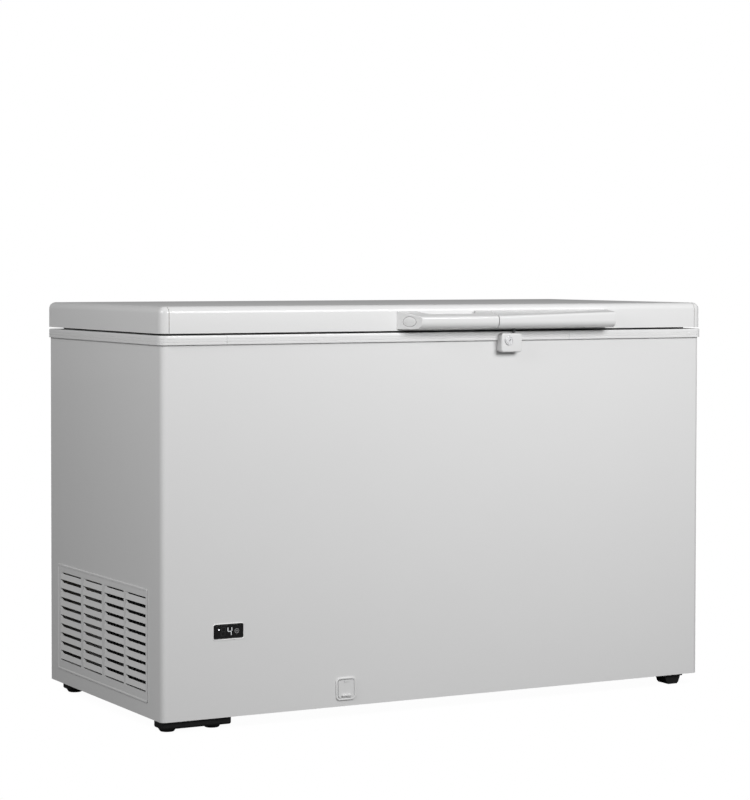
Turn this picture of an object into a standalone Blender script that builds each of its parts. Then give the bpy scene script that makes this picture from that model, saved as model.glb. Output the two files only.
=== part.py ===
"""A commercial chest freezer with a hinged lid, built from its separate pieces.

Metres, +X to the right seen from the front, the front faces -Y, +Z up. The origin is on the
floor, in the middle of the whole outline. Places on the cabinet are measured from its lower
left front corner, which is what at() turns into world coordinates.
"""

import math

import bmesh
import bpy
from mathutils import Matrix, Vector

# ---- driving dimensions: cabinet --------------------------------------------------------------
BODY_W = 1.300
BODY_D = 0.600
BODY_H = 0.7495
FOOT_H = 0.022
WALL = 0.058
SHEET = 0.001
BASE_SHEET = 0.0015
CORNER_R = 0.012
GAP = 0.0003
PLAY = 0.001
THROUGH = 0.010

# ---- driving dimensions: tank and machine compartment -----------------------------------------
LINER_T = 0.001
LINER_R = 0.020
POCKET = 0.010
TANK_FLOOR = 0.070
COMPARTMENT_W = 0.300
COMPARTMENT_H = 0.300
STEP_FOAM = 0.055
EVAPORATOR_R = 0.004
EVAPORATOR_PITCH = 0.095
EVAPORATOR_BEND = 0.026

# ---- driving dimensions: collar, seal and lid -------------------------------------------------
COLLAR_H = 0.0185
COLLAR_OVERHANG = 0.005
COLLAR_OVERHANG_REAR = 0.010
COLLAR_SKIN = 0.003
LEDGE_W = 0.012
LEDGE_DROP = 0.006
COLLAR_JOINT_LEFT = 0.141
COLLAR_JOINT_RIGHT = 0.953
COLLAR_SEAM = 0.0005
SEAL_GAP = 0.004
SEAL_INSET = 0.025
SEAL_W = 0.020
SEAL_H = 0.0115
SEAL_CORNER_R = 0.030
SEAL_EDGE = 0.0015
LID_H = 0.054
LID_OVERHANG_SIDE = 0.002
LID_OVERHANG_FRONT = 0.003
LID_OVERHANG_REAR = 0.015
LID_TOP_R = 0.014
LID_CORNER_R = 0.016
CAP_W = 0.018
LID_LINER_T = 0.0015

# ---- driving dimensions: handle, measured up from the lid's lower edge, and lock, measured down
# from the cabinet's top edge --------------------------------------------------------------------
HANDLE_DEPTH = 0.044
HANDLE_LEFT = 0.529
HANDLE_SLANT = 0.036
HANDLE_SEAM = 0.752
HANDLE_RIGHT = 1.047
HANDLE_BASE = 0.003
HANDLE_FRONT_TOP = 0.029
HANDLE_FRONT_TOP_RIGHT = 0.036
HANDLE_REAR_TOP = 0.0415
HANDLE_BELLY_D = 0.014
HANDLE_BELLY_H = 0.016
HANDLE_EDGE_R = 0.004
HANDLE_SPLIT = 0.0016
GRIP_GAP = 0.0235
GRIP_GAP_LEFT = 0.571
GRIP_GAP_RIGHT = 0.723
GRIP_GAP_SLOPE = 0.011
PLUG_W = 0.028
PLUG_H = 0.020
PLUG_RISE = 0.016
PLUG_DEPTH = 0.006
PLUG_PROUD = 0.0006
LOCK_X = 0.7995
LOCK_W = 0.052
LOCK_BELOW = 0.0255
LOCK_H = 0.0405
LOCK_D = 0.020
LOCK_WALL = 0.002
LOCK_R = 0.005
BARREL_X = 0.792
BARREL_BELOW = 0.0005
BARREL_R = 0.010
BARREL_PROUD = 0.002
KEYWAY_L = 0.009
KEYWAY_W = 0.0018
KEYWAY_D = 0.004
CAM_REACH = 0.022
CAM_W = 0.006
CAM_T = 0.003
CAM_FLAT = 0.0005
KEEPER_X = 0.810
KEEPER_T = 0.002
KEEPER_D = 0.0094
KEEPER_BELOW = 0.0165
KEEPER_FRAME = 0.003
KEEPER_ROOT = 0.011
KEEPER_SLOT_PLAY = 0.002

# ---- driving dimensions: hinges ---------------------------------------------------------------
HINGE_X = 0.230
HINGE_W = 0.060
HINGE_BACK = 0.020
HINGE_BELOW = 0.014
KNUCKLE_R = 0.0065
PIN_R = 0.003
BORE_PLAY = 0.00005
LEAF_T = 0.003
LEAF_H = 0.120
LEAF_SHELF = 0.0148
WEB = 0.6
ARM_H = 0.040

# ---- driving dimensions: front fittings -------------------------------------------------------
DISPLAY_X = 0.1463
DISPLAY_Z = 0.1729
DISPLAY_W = 0.0656
DISPLAY_H = 0.029
DISPLAY_RIM = 0.002
DISPLAY_R = 0.004
BEZEL_D = 0.012
WINDOW_SINK = 0.0012
WINDOW_T = 0.0018
CONTROLLER_D = 0.055
BUTTON_X = 0.165
BUTTON_R = 0.0052
BUTTON_SINK = 0.0008
BUTTON_L = 0.0052
DRAIN_X = 0.4125
DRAIN_Z = 0.036
DRAIN_W = 0.047
DRAIN_H = 0.048
DRAIN_R = 0.010
DRAIN_RING = 0.005
DRAIN_LIP = 0.003
DRAIN_PROUD = 0.0025
DRAIN_CUP = 0.024
DRAIN_PIPE_R = 0.010
DRAIN_BORE_R = 0.006
DRAIN_INLET_Y = 0.125
FLAP_LIP_W = 0.020
FLAP_LIP_H = 0.003
FLAP_LIP_RISE = 0.004
FLAP_LIP_PROUD = 0.002
STOPPER_R = 0.016
STOPPER_H = 0.006
STOPPER_STEM = 0.008
STOPPER_TAB_W = 0.020
STOPPER_TAB_T = 0.006
STOPPER_TAB_H = 0.010

# ---- driving dimensions: side grille ----------------------------------------------------------
GRILLE_FRONT = 0.068
GRILLE_REAR = 0.042
GRILLE_Z = 0.0295
GRILLE_H = 0.229
GRILLE_BORDER = 0.013
GRILLE_T = 0.004
GRILLE_PROUD = 0.002
SLOT_ROWS = 11
SLOT_COLUMNS = 4
SLOT_H = 0.0095
SLOT_BAR = 0.018
SLOT_SLANT = 0.005

# ---- driving dimensions: vents in the rear panel ----------------------------------------------
VENT_ROWS = 6
VENT_PITCH = 0.024
VENT_H = 0.006
VENT_INSET = 0.050
VENT_BELOW = 0.030

# ---- driving dimensions: feet -----------------------------------------------------------------
PAD_H = 0.006
PAD_R = 0.014
RAIL_LEFT = 0.005
RAIL_LEFT_REAR = 0.012
RAIL_W = 0.152
RAIL_D = 0.044
RAIL_FRONT = 0.008
RAIL_REAR = 0.035
PAD_INSET = 0.020
RIGHT_FOOT_INSET = 0.059
RIGHT_FOOT_W = 0.048
RIGHT_FOOT_TIP = 0.031
FLANGE_T = 0.004
FOOT_EDGE = 0.003
FOOT_BEVEL = 0.004

# ---- driving dimensions: refrigeration --------------------------------------------------------
COMPRESSOR_R = 0.075
COMPRESSOR_H = 0.170
COMPRESSOR_INSET_X = 0.170
COMPRESSOR_INSET_Y = 0.120
CAN_SEAM = 0.55
CAN_FLANGE = 0.004
CAN_UPPER = 0.94
CAN_LOWER = 0.92
CAN_BOWL = 0.032
COMPRESSOR_BASE_W = 0.170
COMPRESSOR_BASE_D = 0.140
COMPRESSOR_BASE_T = 0.003
TERMINAL_W = 0.060
TERMINAL_D = 0.032
TERMINAL_H = 0.065
TERMINAL_Z = 0.040
GROMMET_R = 0.009
GROMMET_H = 0.012
GROMMET_INSET = 0.014
CONDENSER_X = 0.018
CONDENSER_T = 0.036
CONDENSER_Y = 0.085
CONDENSER_L = 0.260
CONDENSER_Z = 0.030
CONDENSER_H = 0.220
FIN_COUNT = 15
FIN_GROOVE = 0.009
TUBE_R = 0.004
FAN_X = 0.075
FAN_R = 0.080
FAN_HUB_R = 0.018
FAN_BLADES = 5
FAN_D = 0.018
BLADE_W = 0.040
BLADE_PITCH = 30
ROTOR_SET = 0.004
SHROUD_EDGE = 0.014
SHROUD_CLEAR = 0.003
SHROUD_T = 0.002
SHROUD_BAR = 0.024
MOTOR_R = 0.028
MOTOR_L = 0.042
SHAFT_R = 0.003
GLAND_X = 0.230
GLAND_Z = 0.060
GLAND_R = 0.011
GLAND_BORE_R = 0.0045
GLAND_LIP = 0.003
GLAND_PROUD = 0.012
GLAND_NECK = 0.014

# ---- driving dimensions: basket ---------------------------------------------------------------
BASKET_X = 0.075
BASKET_W = 0.240
BASKET_H = 0.190
BASKET_WIRE = 0.004
BASKET_CLEAR = 0.008

# ---- places that follow from them -------------------------------------------------------------
HANDLE_REACH = LID_OVERHANG_FRONT + HANDLE_DEPTH
REAR_REACH = HINGE_BACK + KNUCKLE_R
LEFT = -BODY_W / 2
RIGHT = BODY_W / 2
FRONT = (HANDLE_REACH - REAR_REACH - BODY_D) / 2
BACK = FRONT + BODY_D
BASE = FOOT_H
BODY_TOP = BASE + BODY_H
COLLAR_TOP = BODY_TOP + COLLAR_H
LID_BASE = COLLAR_TOP + SEAL_GAP
LID_TOP = LID_BASE + LID_H
LID_FRONT = FRONT - LID_OVERHANG_FRONT
LID_BACK = BACK + LID_OVERHANG_REAR
LID_LEFT = LEFT - LID_OVERHANG_SIDE
LID_RIGHT = RIGHT + LID_OVERHANG_SIDE

TANK_LEFT = LEFT + WALL
TANK_RIGHT = RIGHT - WALL
TANK_FRONT = FRONT + WALL
TANK_BACK = BACK - WALL
TANK_BASE = BASE + TANK_FLOOR
MACHINE_RIGHT = LEFT + COMPARTMENT_W
MACHINE_TOP = BASE + COMPARTMENT_H
STEP_RIGHT = MACHINE_RIGHT + STEP_FOAM
STEP_TOP = MACHINE_TOP + STEP_FOAM

HINGE_Y = BACK + HINGE_BACK
HINGE_Z = COLLAR_TOP - HINGE_BELOW

# ---- finishes: colour, roughness, metallic ----------------------------------------------------
WHITE_STEEL = ((0.78, 0.78, 0.78), 0.35, 0.0)
WHITE_PLASTIC = ((0.80, 0.80, 0.80), 0.40, 0.0)
BLACK_PLASTIC = ((0.02, 0.02, 0.02), 0.55, 0.0)
BLACK_GLASS = ((0.01, 0.01, 0.012), 0.10, 0.0)
BLACK_RUBBER = ((0.03, 0.03, 0.03), 0.80, 0.0)
GREY_RUBBER = ((0.35, 0.35, 0.35), 0.70, 0.0)
BARE_STEEL = ((0.55, 0.55, 0.56), 0.35, 1.0)
ALUMINIUM = ((0.80, 0.80, 0.82), 0.40, 1.0)
COPPER = ((0.70, 0.35, 0.20), 0.35, 1.0)
FOAM = ((0.80, 0.72, 0.50), 0.90, 0.0)
BLACK_ENAMEL = ((0.02, 0.02, 0.02), 0.45, 0.0)
WHITE_WIRE = ((0.82, 0.82, 0.82), 0.35, 0.0)


# ---- making things ----------------------------------------------------------------------------
def clear_scene():
    for obj in list(bpy.data.objects):
        bpy.data.objects.remove(obj, do_unlink=True)


def collection(name):
    made = bpy.data.collections.new(name)
    bpy.context.scene.collection.children.link(made)
    return made


def at(x, y, z):
    """A point measured from the cabinet's lower left front corner."""
    return Vector((LEFT + x, FRONT + y, BASE + z))


def on_lid(z):
    """A height measured up from the closed lid's lower edge."""
    return LID_BASE + z


def paint(name, finish):
    colour, roughness, metallic = finish
    made = bpy.data.materials.new(name)
    made.use_nodes = True
    shader = made.node_tree.nodes["Principled BSDF"]
    shader.inputs["Base Color"].default_value = (*colour, 1.0)
    shader.inputs["Roughness"].default_value = roughness
    shader.inputs["Metallic"].default_value = metallic
    return made


def place(name, bm, finish, group):
    """Turns a bmesh into a named object; a face's smoothness follows its angle."""
    bmesh.ops.recalc_face_normals(bm, faces=bm.faces)
    mesh = bpy.data.meshes.new(name)
    bm.to_mesh(mesh)
    bm.free()
    mesh.shade_smooth()
    mesh.set_sharp_from_angle(angle=math.radians(35))
    obj = bpy.data.objects.new(name, mesh)
    group.objects.link(obj)
    if finish:
        obj.data.materials.append(paint(name, finish))
    return obj


def part(name, bm, finish):
    return place(name, bm, finish, PARTS)


def shape(target, bm, operation="DIFFERENCE"):
    """Cuts, joins or trims an object with a hidden cutter."""
    tool = place(f"{target.name}_tool_{len(target.modifiers)}", bm, None, CUTTERS)
    tool.hide_render = True
    tool.display_type = "WIRE"
    boolean = target.modifiers.new("shape", "BOOLEAN")
    boolean.operation = operation
    boolean.solver = "EXACT"
    boolean.object = tool
    return tool


def round_edges(obj, width, segments=2, angle=40):
    bevel = obj.modifiers.new("round", "BEVEL")
    bevel.width = width
    bevel.segments = segments
    bevel.limit_method = "ANGLE"
    bevel.angle_limit = math.radians(angle)
    bevel.harden_normals = False
    return bevel


def axis_point(name, location):
    """An empty on a joint's axis, for the pieces that move about it."""
    empty = bpy.data.objects.new(name, None)
    empty.location = location
    empty.empty_display_size = 0.05
    PARTS.objects.link(empty)
    return empty


def hang(obj, empty):
    obj.parent = empty
    obj.matrix_parent_inverse = Matrix.Translation(empty.location).inverted()


# ---- shapes -----------------------------------------------------------------------------------
def box(low, high):
    bm = bmesh.new()
    bmesh.ops.create_cube(bm, size=1.0)
    low, high = Vector(low), Vector(high)
    bmesh.ops.scale(bm, vec=high - low, verts=bm.verts)
    bmesh.ops.translate(bm, vec=(low + high) / 2, verts=bm.verts)
    return bm


def rod(start, end, radius, end_radius=None, sides=24):
    bm = bmesh.new()
    start, end = Vector(start), Vector(end)
    run = end - start
    bmesh.ops.create_cone(
        bm, cap_ends=True, segments=sides, radius1=radius,
        radius2=radius if end_radius is None else end_radius, depth=run.length,
    )
    turn = Vector((0, 0, 1)).rotation_difference(run).to_matrix()
    bmesh.ops.rotate(bm, cent=(0, 0, 0), matrix=turn, verts=bm.verts)
    bmesh.ops.translate(bm, vec=(start + end) / 2, verts=bm.verts)
    return bm


def prism(outline, axis, start, end):
    """A flat outline pushed along X, Y or Z; its points are the other two coordinates in order."""
    order = {"X": (2, 0, 1), "Y": (0, 2, 1), "Z": (0, 1, 2)}[axis]
    bm = bmesh.new()
    corners = [bm.verts.new([(u, v, start)[i] for i in order]) for u, v in outline]
    face = bm.faces.new(corners)
    raised = bmesh.ops.extrude_face_region(bm, geom=[face])["geom"]
    push = [(0, 0, end - start)[i] for i in order]
    moved = [item for item in raised if isinstance(item, bmesh.types.BMVert)]
    bmesh.ops.translate(bm, vec=push, verts=moved)
    return bm


def joined(*pieces):
    """Several bmeshes in one, for a cutter made of separate blocks."""
    bm = bmesh.new()
    for piece in pieces:
        mesh = bpy.data.meshes.new("piece")
        bmesh.ops.recalc_face_normals(piece, faces=piece.faces)
        piece.to_mesh(mesh)
        piece.free()
        bm.from_mesh(mesh)
        bpy.data.meshes.remove(mesh)
    return bm


def arc(centre, radius, first, last, steps, tall=None):
    """Points on an arc, angles in degrees; tall is its other radius if it isn't round."""
    rise = radius if tall is None else tall
    points = []
    for step in range(steps + 1):
        angle = math.radians(first + (last - first) * step / steps)
        points.append((centre[0] + radius * math.cos(angle), centre[1] + rise * math.sin(angle)))
    return points


def rounded(low, high, radius, steps=4):
    """A rectangle with round corners, anticlockwise from the lower right one."""
    return (
        arc((high[0] - radius, low[1] + radius), radius, -90, 0, steps)
        + arc((high[0] - radius, high[1] - radius), radius, 0, 90, steps)
        + arc((low[0] + radius, high[1] - radius), radius, 90, 180, steps)
        + arc((low[0] + radius, low[1] + radius), radius, 180, 270, steps)
    )


def carried_round(section, low, high, radius, steps=3):
    """A closed section of (inset, height) points carried round a rectangle."""
    bm = bmesh.new()
    loops = []
    for inset, height in section:
        corner = max(radius - inset, PLAY)
        outline = rounded(
            (low[0] + inset, low[1] + inset), (high[0] - inset, high[1] - inset), corner, steps
        )
        loops.append([bm.verts.new((x, y, height)) for x, y in outline])
    for first, second in zip(loops, loops[1:] + loops[:1]):
        for i in range(len(first)):
            j = (i + 1) % len(first)
            bm.faces.new((first[i], first[j], second[j], second[i]))
    return bm


def tube(name, points, radius, finish, resolution=1):
    curve = bpy.data.curves.new(name, "CURVE")
    curve.dimensions = "3D"
    curve.bevel_depth = radius
    curve.bevel_resolution = resolution
    curve.use_fill_caps = True
    spline = curve.splines.new("POLY")
    spline.points.add(len(points) - 1)
    for point, target in zip(points, spline.points):
        target.co = (*point, 1.0)
    obj = bpy.data.objects.new(name, curve)
    PARTS.objects.link(obj)
    obj.data.materials.append(paint(name, finish))
    return obj


def bent(corners, radius, steps=3):
    """The corners of a tube's route, each turned into a bend of this radius."""
    points = [Vector(corners[0])]
    for before, corner, after in zip(corners, corners[1:], corners[2:]):
        corner = Vector(corner)
        back = (Vector(before) - corner).normalized()
        onward = (Vector(after) - corner).normalized()
        if back.angle(-onward) < 0.01:
            points.append(corner)
            continue
        half = back.angle(onward) / 2
        reach = radius / math.tan(half)
        centre = corner + (back + onward).normalized() * radius / math.sin(half)
        start = (corner + back * reach - centre).normalized()
        end = (corner + onward * reach - centre).normalized()
        for step in range(steps + 1):
            points.append(centre + start.slerp(end, step / steps) * radius)
    points.append(Vector(corners[-1]))
    return points


def turned(name, profile, centre, finish, steps=20):
    """A profile of (radius, height) points, listed from the top down, spun about a vertical axis."""
    bm = bmesh.new()
    verts = [bm.verts.new((radius, 0, height)) for radius, height in profile]
    for first, second in zip(verts, verts[1:]):
        bm.edges.new((first, second))
    mesh = bpy.data.meshes.new(name)
    bm.to_mesh(mesh)
    bm.free()
    obj = bpy.data.objects.new(name, mesh)
    obj.location = centre
    PARTS.objects.link(obj)
    obj.data.materials.append(paint(name, finish))
    screw = obj.modifiers.new("turn", "SCREW")
    screw.axis = "Z"
    screw.steps = steps
    screw.render_steps = steps
    screw.use_merge_vertices = True
    screw.merge_threshold = 0.0001
    return obj


# ---- cabinet ----------------------------------------------------------------------------------
def plan(offset, back):
    """The cabinet seen from above, open at the back, this far inside its outer face."""
    radius = CORNER_R - offset
    return (
        [(LEFT + offset, back)]
        + arc((LEFT + CORNER_R, FRONT + CORNER_R), radius, 180, 270, 4)
        + arc((RIGHT - CORNER_R, FRONT + CORNER_R), radius, 270, 360, 4)
        + [(RIGHT - offset, back)]
    )


def front_hole(x, z, width, height, radius, clear):
    """A round-cornered hole through the front sheet, around a fitting of this size."""
    centre = at(x, 0, z)
    half_w, half_h = width / 2 + clear, height / 2 + clear
    outline = rounded(
        (centre.x - half_w, centre.z - half_h), (centre.x + half_w, centre.z + half_h), radius + clear
    )
    return prism(outline, "Y", FRONT - 0.010, FRONT + 0.010)


def outer_shell():
    outline = plan(0, BACK) + plan(SHEET, BACK)[::-1]
    shell = part("outer_shell", prism(outline, "Z", BASE, BODY_TOP - GAP), WHITE_STEEL)
    shape(shell, front_hole(DISPLAY_X, DISPLAY_Z, DISPLAY_W, DISPLAY_H, DISPLAY_R, GAP))
    neck_w, neck_h = DRAIN_W - 2 * DRAIN_LIP, DRAIN_H - 2 * DRAIN_LIP
    shape(shell, front_hole(DRAIN_X, DRAIN_Z, neck_w, neck_h, DRAIN_R - DRAIN_LIP, GAP))
    border = GRILLE_BORDER / 2
    shape(shell, box(
        at(-0.01, GRILLE_FRONT + border, GRILLE_Z + border),
        at(0.01, BODY_D - GRILLE_REAR - border, GRILLE_Z + GRILLE_H - border),
    ))


def rear_panel():
    side = SHEET + GAP
    sheet = part("rear_panel", box(
        (LEFT + side, BACK - SHEET, BASE), (RIGHT - side, BACK, BODY_TOP - GAP)
    ), WHITE_STEEL)
    slots = []
    for row in range(VENT_ROWS):
        top = MACHINE_TOP - VENT_BELOW - row * VENT_PITCH
        slots.append(box(
            (LEFT + VENT_INSET, BACK - THROUGH, top - VENT_H),
            (MACHINE_RIGHT - VENT_INSET, BACK + THROUGH, top),
        ))
    shape(sheet, joined(*slots))
    gland = at(GLAND_X, BODY_D, GLAND_Z)
    reach = Vector((0, THROUGH, 0))
    shape(sheet, rod(gland - reach, gland + reach, GLAND_R - GLAND_LIP + GAP, sides=24))


def floor_sheets():
    side = SHEET + GAP
    part("base_plate", box(
        (MACHINE_RIGHT + GAP, FRONT + side, BASE), (RIGHT - CORNER_R, BACK - side, BASE + SHEET)
    ), WHITE_STEEL)
    part("compressor_tray", box(
        (LEFT + CORNER_R, FRONT + side, BASE), (MACHINE_RIGHT, BACK - side, BASE + BASE_SHEET)
    ), BARE_STEEL)


def tank_outline(wall, floor, top):
    """The stepped tank seen from the front, grown by a wall and a floor allowance."""
    return [
        (TANK_LEFT - wall, top), (TANK_LEFT - wall, STEP_TOP - floor),
        (STEP_RIGHT - wall, STEP_TOP - floor), (STEP_RIGHT - wall, TANK_BASE - floor),
        (TANK_RIGHT + wall, TANK_BASE - floor), (TANK_RIGHT + wall, top),
    ]


def foam_insulation():
    side = SHEET + GAP
    foam = part("foam_insulation", prism(
        plan(side, BACK - side), "Z", BASE + BASE_SHEET + GAP, BODY_TOP - 2 * GAP
    ), FOAM)
    shape(foam, box(
        (LEFT - 0.01, FRONT - 0.01, BASE - 0.01), (MACHINE_RIGHT, BACK + 0.01, MACHINE_TOP)
    ))
    wall = LINER_T + POCKET
    shape(foam, prism(
        tank_outline(wall, LINER_T + GAP, BODY_TOP + 0.01), "Y", TANK_FRONT - wall, TANK_BACK + wall
    ))
    for channel in (*drain_channels(), *evaporator_channels()):
        shape(foam, channel)


def drain_channels():
    """Room in the foam for the drain's cup and its pipe up to the tank floor."""
    clear = DRAIN_PIPE_R + PLAY
    centre = at(DRAIN_X, DRAIN_INLET_Y, DRAIN_Z)
    half_w = DRAIN_W / 2 - DRAIN_RING + 3 * PLAY
    half_h = DRAIN_H / 2 - DRAIN_RING + 3 * PLAY
    cup = box((centre.x - half_w, FRONT - 0.01, centre.z - half_h),
              (centre.x + half_w, FRONT + DRAIN_CUP + 3 * PLAY, centre.z + half_h))
    run = box((centre.x - clear, FRONT + DRAIN_CUP, centre.z - clear),
              (centre.x + clear, centre.y + clear, TANK_BASE + PLAY))
    return cup, run


def tank_form(wall, floor, top, radius):
    """The tank as a solid with every outward edge round, apart from those of its open top."""
    bm = prism(tank_outline(wall, floor, top), "Y", TANK_FRONT - wall, TANK_BACK + wall)
    bmesh.ops.recalc_face_normals(bm, faces=bm.faces)
    outward = [
        e for e in bm.edges
        if e.calc_face_angle_signed() > 0 and any(v.co.z < top - PLAY for v in e.verts)
    ]
    bmesh.ops.bevel(bm, geom=outward, offset=radius, segments=3, profile=0.5,
                    affect="EDGES", material=-1)
    return bm


def inner_liner():
    top = BODY_TOP - 2 * GAP
    liner = part("inner_liner", tank_form(LINER_T, LINER_T, top, LINER_R + LINER_T), WHITE_STEEL)
    shape(liner, tank_form(0, 0, top + 0.05, LINER_R))
    inlet = at(DRAIN_X, DRAIN_INLET_Y, TANK_FLOOR)
    reach = Vector((0, 0, 0.01))
    shape(liner, rod(inlet - reach, inlet + reach, DRAIN_PIPE_R + PLAY))


def evaporator_places():
    out = LINER_T + PLAY + EVAPORATOR_R
    return {
        "front": TANK_FRONT - out, "back": TANK_BACK + out, "right": TANK_RIGHT + out,
        "upper": TANK_LEFT - out, "lower": STEP_RIGHT - out,
        "top": BODY_TOP - 0.040, "riser": TANK_LEFT - out - 3 * EVAPORATOR_R,
    }


def evaporator_route():
    """Down from the top round the tank; the tube drops one pitch on each pass along the right side."""
    where = evaporator_places()
    lead = where["back"] - 0.090
    corners = [
        (where["riser"], lead, MACHINE_TOP - 0.020),
        (where["riser"], lead, where["top"]),
        (where["upper"], lead - 0.060, where["top"]),
    ]
    height = where["top"]
    while True:
        left = where["upper"] if height > STEP_TOP + 0.03 else where["lower"]
        if len(corners) > 3:
            corners.append((left, where["back"], height))
        following = height - EVAPORATOR_PITCH
        last = following < TANK_BASE + 0.02
        if last:
            corners.append((left, lead, height))
            corners.append((MACHINE_RIGHT - 0.020, lead, height))
            return corners
        corners.append((left, where["front"], height))
        corners.append((where["right"], where["front"], height))
        corners.append((where["right"], where["back"], following))
        height = following


def evaporator_coil():
    route = evaporator_route()
    tube("evaporator_coil", bent(route, EVAPORATOR_BEND / 2, 2), EVAPORATOR_R, COPPER)


def evaporator_channels():
    where = evaporator_places()
    route = evaporator_route()
    clear = EVAPORATOR_R + 3 * PLAY
    riser, lead, bottom = route[0]
    up = box((riser - clear, lead - 0.080, where["top"] - 0.020),
             (where["upper"], lead + clear, BODY_TOP + 0.01))
    down = box((riser - clear, lead - clear, bottom),
               (where["upper"] - PLAY / 2, lead + clear, where["top"] - 0.019))
    end = Vector(route[-1])
    out = box((end.x, end.y - clear, end.z - clear),
              (where["lower"], end.y + EVAPORATOR_BEND, end.z + clear))
    return up, down, out


def drain_parts():
    centre = at(DRAIN_X, 0, DRAIN_Z)
    half_w, half_h = DRAIN_W / 2, DRAIN_H / 2
    inner_w, inner_h = half_w - DRAIN_RING, half_h - DRAIN_RING
    neck = DRAIN_RING - DRAIN_LIP

    def outline(grow, width=inner_w, height=inner_h):
        return rounded(
            (centre.x - width - grow, centre.z - height - grow),
            (centre.x + width + grow, centre.z + height + grow),
            max(DRAIN_R - DRAIN_RING + grow, PLAY),
        )

    face = FRONT - DRAIN_PROUD
    bezel = part("drain_bezel", prism(
        rounded((centre.x - half_w, centre.z - half_h), (centre.x + half_w, centre.z + half_h), DRAIN_R),
        "Y", face, FRONT - GAP,
    ), WHITE_PLASTIC)
    shape(bezel, prism(outline(neck), "Y", face + PLAY, FRONT + DRAIN_CUP), "UNION")
    shape(bezel, prism(outline(0), "Y", face - 0.01, FRONT + DRAIN_CUP - 2 * PLAY))
    mouth = Vector((centre.x, FRONT + DRAIN_CUP, centre.z))
    reach = Vector((0, 0.006, 0))
    shape(bezel, rod(mouth - reach, mouth + reach, DRAIN_PIPE_R + GAP))

    inlet = at(DRAIN_X, DRAIN_INLET_Y, DRAIN_Z)
    pipe_top = Vector((inlet.x, inlet.y, TANK_BASE + PLAY))
    start = Vector((centre.x, FRONT + DRAIN_CUP - 0.008, centre.z))
    below = Vector((0, 0, DRAIN_PIPE_R - PLAY))
    pipe = part("drain_pipe", rod(start, inlet + Vector((0, DRAIN_PIPE_R, 0)), DRAIN_PIPE_R), WHITE_PLASTIC)
    shape(pipe, rod(inlet - below, pipe_top, DRAIN_PIPE_R - GAP), "UNION")
    mouth_bore = rod(start - Vector((0, 0.01, 0)), inlet + Vector((0, DRAIN_BORE_R, 0)), DRAIN_BORE_R)
    shape(pipe, mouth_bore)
    shape(pipe, rod(inlet - below * 0.5, pipe_top + Vector((0, 0, 0.01)), DRAIN_BORE_R - GAP))

    axis = axis_point("drain_flap_axis", (centre.x, face, centre.z + inner_h - 2 * PLAY))
    flap = part("drain_flap", prism(
        outline(-PLAY / 2), "Y", face, face + DRAIN_PROUD - GAP
    ), WHITE_PLASTIC)
    lip = centre.z - inner_h + FLAP_LIP_RISE
    shape(flap, box(
        (centre.x - FLAP_LIP_W / 2, face - FLAP_LIP_PROUD, lip),
        (centre.x + FLAP_LIP_W / 2, face + PLAY, lip + FLAP_LIP_H),
    ), "UNION")
    hang(flap, axis)

    drain_stopper(Vector((inlet.x, inlet.y, TANK_BASE)))


def drain_stopper(centre):
    """The rubber plug in the tank's floor: a flat head, a stem in the pipe and a tab to pull."""
    lift = axis_point("drain_plug_axis", centre)
    seat = centre + Vector((0, 0, PLAY + GAP))
    up = Vector((0, 0, STOPPER_H))
    plug = part("drain_plug", rod(seat, seat + up, STOPPER_R, STOPPER_R - 2 * PLAY), GREY_RUBBER)
    stem = DRAIN_BORE_R - 2 * GAP - PLAY / 2
    shape(plug, rod(centre - Vector((0, 0, STOPPER_STEM)), seat + up / 2, stem, sides=16), "UNION")
    half = Vector((STOPPER_TAB_T / 2, STOPPER_TAB_W / 2, 0))
    tab_top = seat + up + Vector((0, 0, STOPPER_TAB_H))
    shape(plug, box(seat + up / 2 - half, tab_top + half), "UNION")
    hang(plug, lift)


# ---- collar -----------------------------------------------------------------------------------
def collar_section():
    """The collar's section, from its outer face inwards, as (inset, height) points."""
    skin = COLLAR_SKIN
    inner = WALL + COLLAR_OVERHANG
    low, top = BODY_TOP, COLLAR_TOP
    ledge = top - LEDGE_DROP
    return [
        (0, low), (skin, low), (skin, top - skin), (inner - LEDGE_W - skin, top - skin),
        (inner - LEDGE_W - skin, ledge - skin), (inner - skin, ledge - skin), (inner - skin, low),
        (inner, low), (inner, ledge), (inner - LEDGE_W, ledge), (inner - LEDGE_W, top),
        (PLAY, top), (0, top - PLAY),
    ]


def collar():
    """One section round the whole opening, made in four lengths with butt joints."""
    out, rear = COLLAR_OVERHANG, COLLAR_OVERHANG_REAR
    low = (LEFT - out, FRONT - out)
    high = (RIGHT + out, BACK + rear)
    first = LEFT + COLLAR_JOINT_LEFT
    second = LEFT + COLLAR_JOINT_RIGHT
    middle = FRONT + BODY_D / 2
    gap = COLLAR_SEAM / 2
    far = 0.05
    lengths = {
        "collar_left": ((low[0] - far, low[1] - far), (first - gap, high[1] + far)),
        "collar_front": ((first + gap, low[1] - far), (second - gap, middle)),
        "collar_rear": ((first + gap, middle), (second - gap, high[1] + far)),
        "collar_right": ((second + gap, low[1] - far), (high[0] + far, high[1] + far)),
    }
    for name, (corner, opposite) in lengths.items():
        ring = carried_round(collar_section(), low, high, CORNER_R + out)
        piece = part(name, ring, WHITE_PLASTIC)
        shape(piece, box((*corner, BODY_TOP - far), (*opposite, COLLAR_TOP + far)), "INTERSECT")


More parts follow.
